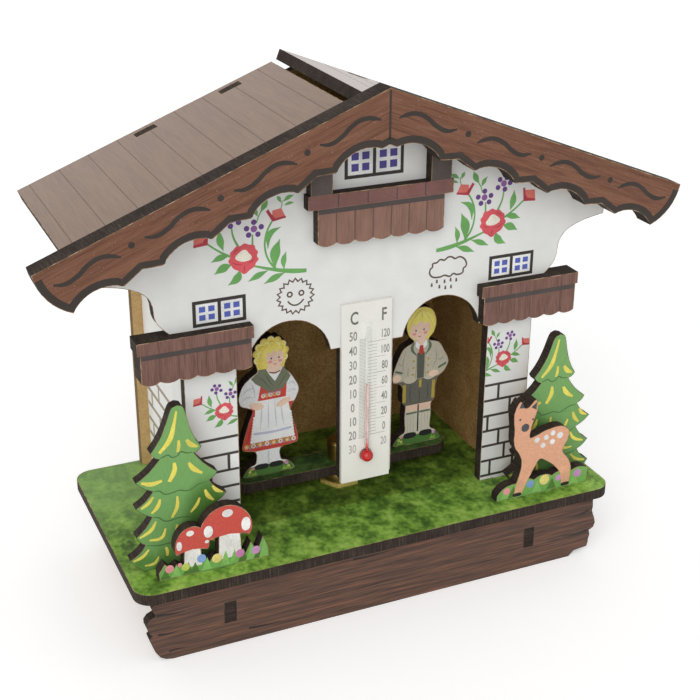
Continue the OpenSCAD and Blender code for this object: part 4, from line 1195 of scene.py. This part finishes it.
woman = {
    "x": -21.8, "foot": 30.2,
    "bands": [(20, "moundGreen"), (33.3, "clothWhite"), (37.9, "dressRed"), (51.6, "clothWhite"),
              (62.3, "hairGold")],
    "face": [(-0.6, 35.6), (-0.3, 37.2), (0.9, 38.2), (2.4, 38.3), (3.9, 37.6), (4.5, 36), (4.3, 34.2),
             (3.4, 32.9), (2.1, 32.5), (0.8, 32.9), (-0.3, 34.1)],
    "fringe": [(-1, 36.2), (-0.2, 37.3), (0.7, 36.8), (1.6, 37.6), (2.5, 37), (3.3, 37.5), (4, 36.8),
               (4.7, 36.4), (4.5, 38.6), (2.2, 39.6), (-0.6, 38.6)],
    "curls": {"centre": (0.8, 36.7), "size": 0.8,
              "rings": [(0, 4.1, 11, (-48, 228)), (4, 2.9, 7, (25, 205))]},  # level, reach, count, arc
    "eyes": [(0.85, 35.3), (3.05, 35.3)], "cheeks": [(0.5, 34.3), (3.4, 34.3)], "nose": (1.95, 34.6),
    "mouth": (1.95, 33.6),
}
man = {
    "x": 24.0, "foot": 30.2,
    "bands": [(20, "moundGreen"), (33.0, "sockSand"), (40.7, "skin"), (42.9, "shortsGrey"),
              (50.9, "jacketSand"), (62.9, "hairGold")],
    "face": [(-3.2, 36.2), (-2.9, 34.6), (-1.8, 33.4), (-0.2, 32.8), (1.4, 33.3), (2.6, 34.6), (3, 36.2),
             (2.7, 37.8), (1.4, 38.6), (-0.4, 38.8), (-2.2, 38.2)],
    "fringe": [(-3.7, 37), (-2.9, 38.7), (-1.6, 37.8), (0.2, 38.7), (1.4, 37.8), (2.9, 38.2), (3.6, 36.2),
               (4.2, 37.4), (3.6, 40), (0.2, 41.4), (-2.8, 40.4)],
    "locks": {"crown": (0.4, 42.1), "bow": 0.1125,
              "tips": [(-3.9, 36.4), (-3.6, 37.9), (-2.7, 38.9), (-1.2, 38.3), (0.4, 38.8), (1.8, 38.3),
                       (3, 38.6), (3.9, 37.2), (4.2, 35.8)]},
    "eyes": [(-1.4, 36), (1.1, 36)], "cheeks": [(-1.9, 35), (1.6, 35)], "nose": (-0.2, 35.3),
    "mouth": (-0.2, 34.1),
}

hairLook = {
    "ringTurns": (-2, -0.9, 0.2, 1.3), "ringWidths": [0.1, 0.3, 0.26, 0.1],  # radians, mm
    "dip": [(-0.3, -0.1), (0, -0.35), (0.3, -0.1)], "dipWidths": [0.08, 0.22, 0.08],
    "lockWidths": [0.06, 0.24, 0.06],
}
faceLook = {
    "cheek": (0.6, 0.45), "eye": (0.26, 0.32),
    "brow": [(-0.5, 0.65), (0, 0.85), (0.5, 0.65)], "browWidths": [0.1, 0.16, 0.1],
    "nose": [(-0.2, 0), (0.05, -0.15), (0.25, 0)], "noseWidths": [0.1, 0.18, 0.1],
    "mouth": [(-0.5, 0.08), (0, -0.14), (0.5, 0.08)], "mouthWidths": [0.1, 0.28, 0.1],
}
tuftLook = {"half": 0.6, "foot": 0.5, "lean": 0.15, "top": 2.7, "slope": 0.2, "middle": 0.3}


def hairTone(k):
    return "hairLight" if k % 2 else "hairShade"


def curlyHair(look):
    # small open rings, in rows that follow the curls of the outline
    marks = []
    for level, reach, count, (first, last) in look["rings"]:
        for k in range(count):
            angle = math.radians(first + (last - first) * k / (count - 1))
            around = [angle + turn for turn in hairLook["ringTurns"]]
            ring = [(look["size"] * math.cos(turn), look["size"] * math.sin(turn)) for turn in around]
            x, z = look["centre"]
            x += reach * math.cos(angle)
            z += reach * math.sin(angle)
            marks.append((level, hairTone(k), brush(moved(ring, x, z), hairLook["ringWidths"])))
            marks.append((level, "hairShade", brush(moved(hairLook["dip"], x, z), hairLook["dipWidths"])))
    return marks


def straightHair(look):
    # soft strokes that fall from the crown
    marks = []
    crownX, crownZ = look["crown"]
    for k, (x, z) in enumerate(look["tips"]):
        bow = look["bow"] * (x - crownX)
        middle = ((crownX + x) / 2 + bow, (crownZ + z) / 2 + abs(bow))
        marks.append((4, hairTone(k), brush([look["crown"], middle, (x, z)], hairLook["lockWidths"])))
    return marks


def headMarks(look):
    # calm doll's face, the same on both
    marks = [(1, "skin", area(*look["face"])), (3, "hairGold", area(*look["fringe"]))]
    marks += curlyHair(look["curls"]) if "curls" in look else straightHair(look["locks"])
    marks += [(2, "cheek", disc(*cheek, *faceLook["cheek"])) for cheek in look["cheeks"]]
    for eye in look["eyes"]:
        marks.append((2, "eyeGrey", disc(*eye, *faceLook["eye"])))
        marks.append((2, "hairShade", brush(moved(faceLook["brow"], *eye), faceLook["browWidths"])))
    for part, inkName in (("nose", "skinShade"), ("mouth", "lipRed")):
        marks.append((2, inkName, brush(moved(faceLook[part], *look[part]), faceLook[part + "Widths"])))
    return marks


def stroked(level, inkName, look, key):
    return strokes(level, inkName, look[key], look["widths"][key])


def beside(x, z, spot):
    return disc(x + spot[0], z + spot[1], spot[2])


def tuftMarks(look):
    # grass and flowers at the foot of a figure
    marks = []
    foot = tuftLook["foot"]
    for x in look["tufts"]:
        tip = tuftLook["top"] - tuftLook["slope"] * abs(x - tuftLook["middle"])
        blade = [(x - tuftLook["half"], foot), (x + tuftLook["half"], foot), (x + tuftLook["lean"], tip)]
        marks.append((1, "moundLight", plate(*blade)))
    return marks + dotMarks(2, look["flowers"])


womanDress = {
    "neck": [(-0.3, 33.4), (3.9, 33.4), (3.4, 30.4), (-0.1, 30.4)],
    "blouse": [(-0.2, 31.6), (1.8, 28), (3.6, 31.6), (2.6, 30.7), (1.7, 30.4), (0.8, 30.7)],
    "choker": [[(0.1, 31.3), (1.8, 30.9), (3.4, 31.3)]],
    "shawl": [(-5.1, 30.2), (-3.1, 31.7), (-2.9, 32.5), (-0.8, 32.5), (0.2, 30.6), (1.8, 28.4), (3.3, 30.6),
              (4.2, 32.5), (4.5, 32.1), (5.8, 30.3), (6.4, 29.2), (5.4, 27.7), (4.2, 25.9), (2, 25.4),
              (-0.5, 25.6), (-2, 27.2), (-3.8, 28.5)],
    "shawlFolds": [[(-3.4, 30.6), (-1.6, 29.2), (0.2, 26.6)], [(5.2, 30.2), (4, 28.4), (2.6, 26.6)],
                   [(-1, 31.4), (0, 29), (1.4, 27)]],
    "bodice": [(-2.4, 27.5), (-3.3, 23.1), (4.9, 23.1), (5.2, 27.3)],
    "posies": {"at": [-1.7, -0.6, 0.5, 1.6, 2.7], "z": 24.5, "petals": 0.62, "heart": 0.24,
               "bud": (0.5, 0.62, 0.28)},
    "sleeveFolds": [[(-7.6, 25.6), (-6, 27.2), (-4.2, 27.4)], [(-7.9, 24), (-6.2, 24.9), (-4.4, 24.6)],
                    [(-5, 29), (-4.4, 27), (-4, 24.4)], [(5.6, 26.8), (6.8, 27.3), (7.9, 26)],
                    [(5.6, 24.4), (6.8, 25), (8.1, 24.4)]],
    "apron": [(-4, 23.2), (-4.2, 19.1), (-5.3, 11.2), (-3.3, 10.9), (-1.2, 10.75), (0.8, 10.7), (2.8, 10.75),
              (4.8, 10.9), (6.9, 11.2), (6, 19.1), (5.4, 23.2)],
    "lace": 16, "laceSide": 9, "laceSize": 0.45, "laceDrop": 0.25,
    "pleats": [-2.4, -0.3, 1.8, 3.7], "pleat": [(0.9, 22.4), (1, 18), (1.15, 14.4)],  # share of x, height
    "band": [[(-4.8, 13.4), (0.8, 13.1), (6.4, 13.4)]],
    "hands": [[(-5.8, 22.4), (-4.2, 22.9), (-2, 22), (-1.7, 21.1), (-3.2, 20.6), (-5, 21.2)],
              [(2, 20.9), (3.2, 22.2), (5, 22.9), (6.3, 22.4), (5.2, 21.2), (3, 20.4)]],
    "hem": {"at": [-6.9, -4.9, -2.9, -0.9, 1.1, 3.1, 5.1, 7], "z": 9.75, "petals": 0.7, "heart": 0.28,
            "bud": (-1, -0.45, 0.34), "leaf": (-1, 0.4, 0.26)},
    "skirtFolds": [[(-4.9, 18), (-6, 13.6), (-6.7, 10.8)], [(6.4, 17.6), (7.1, 13.6), (7.6, 10.8)]],
    "legLine": ([(-0.5, 7.5), (-0.5, 3.4)], 0.55),
    "shoes": [(-2.6, 2.8, 2.1, 0.85), (1.7, 2.8, 2.1, 0.85)],
    "tufts": [-6.4, -5.4, -4.6, 4, 4.8, 5.6],
    "flowers": [("dotPink", -5.2, 2.6, 0.5), ("dotYellow", -6.1, 1.7, 0.4), ("dotLilac", 4.9, 2.4, 0.5),
                ("dotPink", 4.2, 2.9, 0.35), ("dotLime", -5.9, 2.3, 0.35), ("dotYellow", 5.4, 1.5, 0.35)],
    "widths": {"choker": [0.3, 0.35, 0.3], "shawlFolds": [0.1, 0.35, 0.1], "sleeveFolds": [0.1, 0.45, 0.1],
               "skirtFolds": [0.1, 0.45, 0.15], "pleats": [0.15, 0.5, 0.15], "band": [0.75, 0.75, 0.75]},
}


def laceMarks(look):
    # lace along the foot of the apron and up both its sides
    leftTop, leftFoot = look["apron"][1:3]
    rightFoot, rightTop = look["apron"][8:10]
    size = look["laceSize"]
    marks = []
    for k in range(look["lace"]):
        x = leftFoot[0] + (rightFoot[0] - leftFoot[0]) * k / (look["lace"] - 1)
        marks.append((2, "clothWhite", disc(x, leftFoot[1] - look["laceDrop"], size)))
    for k in range(look["laceSide"]):
        for foot, top in ((leftFoot, leftTop), (rightFoot, rightTop)):
            spot = Vector(foot).lerp(Vector(top), k / look["laceSide"])
            marks.append((2, "clothWhite", disc(*spot, size)))
    return marks


def flowerMarks(hem, posies):
    # printed flowers along the hem, and the posies under the shawl
    marks = []
    z = hem["z"]
    for k, x in enumerate(hem["at"]):
        marks.append((3, "petalCream" if k % 2 else "flowerGold", disc(x, z, hem["petals"])))
        marks.append((4, "budCoral" if k % 2 else "petalCream", disc(x, z, hem["heart"])))
        if k:
            marks.append((3, "bandLavender", beside(x, z, hem["bud"])))
            marks.append((3, "moundLight", beside(x, z, hem["leaf"])))
    z = posies["z"]
    for k, x in enumerate(posies["at"]):
        marks.append((1, "flowerGold" if k % 2 else "petalCream", disc(x, z, posies["petals"])))
        marks.append((2, "budCoral", disc(x, z, posies["heart"])))
        marks.append((2, "bandLavender", beside(x, z, posies["bud"])))
    return marks


def womanMarks(look):
    marks = [
        (0, "skin", plate(*look["neck"])), (1, "clothWhite", plate(*look["blouse"])),
        (0, "dressRed", plate(*look["bodice"])), (2, "shawlGreen", plate(*look["shawl"])),
    ]
    marks += stroked(3, "lineBrown", look, "choker") + fills(1, "clothWhite", [look["apron"]])
    marks += stroked(3, "shawlShade", look, "shawlFolds") + stroked(1, "clothGrey", look, "sleeveFolds")
    marks += stroked(1, "dressShade", look, "skirtFolds")
    pleats = [[(share * x, z) for share, z in look["pleat"]] for x in look["pleats"]]
    marks += strokes(2, "clothGrey", pleats, look["widths"]["pleats"])
    marks += stroked(2, "apronBand", look, "band") + fills(3, "skin", look["hands"], area)
    marks += laceMarks(look) + flowerMarks(look["hem"], look["posies"])
    marks.append((0, "clothGrey", ruled(*look["legLine"])))
    return marks + fills(1, "shoeBlack", look["shoes"], disc) + tuftMarks(look)


manDress = {
    "neck": [(-0.9, 33.6), (1.7, 33.6), (2, 30.8), (-1.1, 30.8)],
    "collar": [(-1.2, 32.8), (0.4, 30.9), (2.1, 32.8), (2.3, 31), (0.4, 29.5), (-1.4, 31)],
    "tie": [(-0.1, 31.2), (1, 31.2), (1.3, 29), (0.5, 28.2), (-0.3, 29)],
    "lapels": [[(-1.9, 32.3), (-2.5, 30.6), (-1, 28.2)], [(2.8, 32.3), (3.3, 30.6), (1.9, 28.2)]],
    "vest": [(-0.8, 29), (1.6, 29), (1.5, 20.9), (-0.7, 20.9)],
    "edges": [[(-1, 28.6), (-0.95, 24.6), (-1.2, 20.9)], [(1.8, 28.6), (1.75, 24.6), (2, 20.9)]],
    "buttons": [(-1.9, 26.6), (-1.9, 24.5), (-2, 22.4), (2.8, 26.6), (2.7, 24.5), (2.7, 22.4)],
    "cuffs": [[(-7.5, 24.6), (-5.3, 23.7), (-5.4, 23.1), (-7.7, 24)],
              [(6, 23.5), (8.5, 24.6), (8.7, 24), (6.2, 22.9)]],
    "hands": [[(-8, 22.9), (-6.4, 23.1), (-5.8, 21.8), (-6.8, 20.9), (-8.2, 21.4)],
              [(3.2, 21.8), (4.6, 22.7), (6.1, 22), (5.6, 20.9), (3.8, 20.8)]],
    "folds": [[(-4.4, 30), (-5.2, 26.6), (-5, 23)], [(5, 29.8), (5.4, 26.6), (4.2, 23)],
              [(-3.4, 25), (-3.6, 23), (-3.4, 21.2)], [(-6.8, 27), (-6, 26), (-5.4, 26)],
              [(7.8, 26.6), (6.8, 25.8), (5.8, 26)]],
    "skirts": [[(-4.9, 21), (-4.4, 20.2), (-1.6, 20), (-0.9, 20.9)],
               [(1.7, 20.9), (2.4, 20.2), (4.6, 20.4), (5.2, 21)]],
    "fly": [(0, 20.4), (0.9, 20.4), (0.8, 18), (0.1, 18)],
    "shortsFolds": [[(-2.6, 19.4), (-2.8, 16.6), (-2.6, 13.6)], [(2.8, 19.4), (3, 16.6), (2.8, 13.6)],
                    [(0.4, 18), (0.3, 15.4), (0.2, 12.8)]],
    "stripes": [[(-4.6, 19.6), (-4.55, 13.9)], [(4.75, 19.6), (4.6, 13.8)]],
    "sockTops": [(-2.1, 10.1), (2.1, 10.1)], "ribs": [-3.2, -2.3, -1.4, 1.3, 2.2, 3.1],
    "legLine": ([(0, 12.6), (0, 3.8)], 0.45), "button": 0.36, "stripe": 0.95, "rib": (9.6, 4.2, 0.2),
    "sockTop": (1.7, 0.6),
    "shoes": [(-2.5, 2.9, 2.1, 0.95), (2.6, 2.9, 2.1, 0.95)],
    "tufts": [-6.2, -5.2, 4.6, 5.4],
    "flowers": [("dotPink", -5.2, 2.7, 0.45), ("dotLime", -6, 1.9, 0.5), ("dotLilac", 5.2, 2.5, 0.5),
                ("dotYellow", -5.2, 1.4, 0.35)],
    "widths": {"lapels": [0.5, 0.9, 0.3], "edges": [0.2, 0.3, 0.2], "folds": [0.1, 0.36, 0.1],
               "shortsFolds": [0.1, 0.36, 0.15]},
}


def manMarks(look):
    marks = [
        (0, "skin", plate(*look["neck"])), (1, "clothWhite", plate(*look["collar"])),
        (0, "vestGrey", plate(*look["vest"])), (2, "tieRed", plate(*look["tie"])),
        (0, "stripeOchre", plate(*look["fly"])), (0, "shoeBlack", ruled(*look["legLine"])),
    ]
    marks += fills(1, "jacketSand", look["skirts"], area) + stroked(2, "lapelGreen", look, "lapels")
    marks += stroked(1, "jacketShade", look, "edges")
    marks += [(2, "stripeOchre", disc(*button, look["button"])) for button in look["buttons"]]
    marks += fills(2, "lapelGreen", look["cuffs"]) + fills(3, "skin", look["hands"], area)
    marks += stroked(0, "jacketShade", look, "folds") + stroked(0, "shortsShade", look, "shortsFolds")
    marks += [(0, "stripeOchre", ruled(stripe, look["stripe"])) for stripe in look["stripes"]]
    marks += uprights(0, "sockShade", look["ribs"], *look["rib"])
    half, line = look["sockTop"]
    marks += [(1, "lapelGreen", ruled([(x - half, z), (x + half, z)], line)) for x, z in look["sockTops"]]
    return marks + fills(1, "shoeBlack", look["shoes"], disc) + tuftMarks(look)


for name, look, dress, draw in (("woman", woman, womanDress, womanMarks), ("man", man, manDress, manMarks)):
    node = name + "_figure"
    bands = [(z, figureInks[tone]) for z, tone in look["bands"]]
    cutSheet(name + "Sheet", node, bandFinish(name + "Bands", bands), body="figures")
    marks = placed(draw(dress) + headMarks(look), look["x"], look["foot"])
    printOn(name + "Print", frontOf(node), marks, "figures")
print("pair finished")

# Pivot, coil and thermometer

metalLook = {"worn": 0.82, "depth": 0.01}
easedBy = {"metal": 0.15, "scale": 0.12, "segments": 2}  # mm of rounding


def metalFinish(name, colour, roughness, scratch, metallic=1.0):
    finish = startFinish(name, roughness, 0.5)
    shader = finish.node_tree.nodes["Principled BSDF"]
    shader.inputs["Metallic"].default_value = metallic
    lines = mottle(finish, scratch, 3)
    low = tuple(c * metalLook["worn"] for c in colour)
    return coloured(finish, shades(finish, lines, [(0.3, low), (0.65, colour)]), lines, metalLook["depth"])


def easedPiece(name, node, finish, width, body="house"):
    # the node's own solid with its sharp edges rounded off
    bm = solidOf(node)
    if width:
        crease = math.radians(sheetLook["crease"])
        sharp = [edge for edge in bm.edges if edge.calc_face_angle(0) > crease]
        bmesh.ops.bevel(bm, geom=sharp, offset=width * mm, segments=easedBy["segments"], profile=0.5,
                        affect="EDGES", clamp_overlap=True, material=-1)
    for face in bm.faces:
        face.smooth = True
    for edge in bm.edges:
        edge.smooth = edge.calc_face_angle(0) < math.radians(sheetLook["shaded"])
    addPiece(name, bm, [finish], body, node)


brass = metalFinish("turnedBrass", (186, 152, 82), 0.38, (4, 4, 0.12))
# painted light: the nut's brass is paler than the hub's, as the nut stands in shade under the bar
litBrass = metalFinish("litBrass", (240, 212, 120), 0.5, (0.12, 4, 4), 0.5)
steel = metalFinish("drawnSteel", (190, 190, 192), 0.3, (0.15, 0.15, 4))
easedPiece("hubTurned", "bar_hub", brass, easedBy["metal"], "figures")
# the nut in the lighter brass: painted light
easedPiece("nutHex", "base_nut", litBrass, easedBy["metal"])
easedPiece("spindleRod", "pivot_spindle", steel, easedBy["metal"])
easedPiece("anchorPin", "coil_anchor_pin", steel, easedBy["metal"])

coilLook = {
    "inner": 2.2, "outer": 6.0, "turns": 3, "startAngle": 90, "stepsPerTurn": 48, "strip": 0.4,
    "eased": 0.05, "weld": 0.0001,
}


def addCoil(look):
    # a strip wound into a flat spiral, its edges eased
    low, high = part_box("bimetal_coil")
    curve = bpy.data.curves.new("coil", "CURVE")
    curve.dimensions = "2D"
    curve.fill_mode = "NONE"
    curve.extrude = (high.z - low.z) / 2
    spline = curve.splines.new("POLY")
    count = look["turns"] * look["stepsPerTurn"]
    spline.points.add(count)
    for k, point in enumerate(spline.points):
        turn = k / look["stepsPerTurn"]
        angle = math.radians(look["startAngle"] + 360 * turn)
        reach = look["inner"] + (look["outer"] - look["inner"]) * turn / look["turns"]
        point.co = (reach * mm * math.cos(angle), reach * mm * math.sin(angle), 0, 1)
    bm = bmesh.new()
    bm.from_mesh(meshOf(curve))
    bmesh.ops.remove_doubles(bm, verts=bm.verts, dist=look["weld"] * mm)
    bmesh.ops.translate(bm, vec=(0, 0, (low.z + high.z) / 2), verts=bm.verts)
    bmesh.ops.recalc_face_normals(bm, faces=bm.faces)
    finish = metalFinish("rolledBimetal", (196, 158, 96), 0.34, (4, 4, 0.1))
    coil = addPiece("coilStrip", bm, [finish], "house", "bimetal_coil")
    wall = coil.modifiers.new("strip", "SOLIDIFY")
    wall.thickness = look["strip"] * mm
    wall.offset = 0
    eased = coil.modifiers.new("eased", "BEVEL")
    eased.width = look["eased"] * mm
    eased.segments = easedBy["segments"]


addCoil(coilLook)

cardFinish = printedFinish("satinCard", (232, 230, 222), 0.012, 0.42)
easedPiece("scaleCard", "thermometer_card", cardFinish, easedBy["scale"])

glassLook = {
    "bend": 1.012,  # low, as the tube shows its card almost clearly
    "drawn": (0.4, 0.4, 9), "tones": [(0.3, (244, 246, 245)), (0.7, (252, 253, 253))],
}
tubeGlass = startFinish("tubeGlass", 0.0)
glassShader = tubeGlass.node_tree.nodes["Principled BSDF"]
glassShader.inputs["Transmission Weight"].default_value = 1.0
glassShader.inputs["IOR"].default_value = glassLook["bend"]
drawn = mottle(tubeGlass, glassLook["drawn"], 2)
feed(tubeGlass, shades(tubeGlass, drawn, glassLook["tones"]), "Base Color")
easedPiece("scaleTube", "thermometer_tube", tubeGlass, easedBy["scale"])

spiritLook = {
    "tones": [(0.0, (206, 30, 26)), (0.4, (216, 80, 74)), (1.0, (236, 198, 194))],  # bulb, neck, thread
    "bulbTop": 42.0, "threadFrom": 46.0,
    "swirl": (1.2, 1.2, 1.2), "lit": [(0.3, (222, 214, 214)), (0.7, (255, 255, 255))],
}


def spiritFinish(look):
    # deep red in the bulb, paler up the thin thread
    finish = startFinish("redSpirit", 0.16, 0.5)
    span = ramped(finish, axes(finish)["Z"], look["bulbTop"], look["threadFrom"])
    base = shades(finish, span, look["tones"])
    feed(finish, tinted(finish, base, mottle(finish, look["swirl"], 2), look["lit"]), "Base Color")
    return finish


easedPiece("spiritThread", "thermometer_spirit", spiritFinish(spiritLook), 0)

scaleLook = {
    "shift": -0.6, "heading": 80.9, "headingSize": (5.0, 0.68), "headingX": (-3.65, 4.85),
    "celsius": {"top": 75.9, "step": -4.16, "values": (50, 40, 30, 20, 10, 0, 10, 20, 30), "x": -3.95,
                "size": (3.6, 0.64), "parts": 10, "drop": 1.1, "from": -2.1, "to": (-0.3, -0.3)},
    "fahrenheit": {"top": 75.5, "step": -4.56, "values": (120, 100, 80, 60, 40, 20, 0, 20), "x": 5.3,
                   "size": (3.3, 0.54), "parts": 5, "drop": 1.8, "from": 0.4, "to": (5.6, 3.0)},
    "tickLine": 0.15, "fat": 0.04,
}
mixInks({"headingGrey": (112, 111, 100), "numberGrey": (146, 144, 138), "tickGrey": (178, 176, 170)})


def textMark(words, x, z, size, fat):
    data = bpy.data.curves.new("words", "FONT")
    data.body = words
    data.size = size[0]
    data.offset = fat
    data.extrude = 0.5
    data.align_x = "CENTER"
    data.align_y = "CENTER"
    data.resolution_u = 3
    data["x"] = x
    data["z"] = z
    data["narrow"] = size[1]
    return data


def scaleMarks(look):
    marks = []
    texts = []
    shift = look["shift"]
    for letter, x in zip("CF", look["headingX"]):
        words = textMark(letter, x + shift, look["heading"], look["headingSize"], 2 * look["fat"])
        texts.append((0, "headingGrey", words))
    for column in (look["celsius"], look["fahrenheit"]):
        start = column["from"] + shift
        for k, value in enumerate(column["values"]):
            z = column["top"] + k * column["step"]
            # the lowest number is faint, and the ticks end above it
            left = len(column["values"]) - 1 - k
            words = textMark(str(value), column["x"] + shift, z, column["size"], look["fat"])
            texts.append((1, "numberGrey" if left else "tickGrey", words))
            for part in range(min(left, 1) if left < 2 else column["parts"]):
                tickZ = z - column["drop"] + part * column["step"] / column["parts"]
                end = column["to"][1 if part else 0] + shift
                marks.append((0, "tickGrey", ruled([(start, tickZ), (end, tickZ)], look["tickLine"])))
    return marks, texts


scaleLines, scaleTexts = scaleMarks(scaleLook)
printOn("scalePrint", frontOf("thermometer_card"), scaleLines, texts=scaleTexts)
print("pivot, coil and thermometer finished")
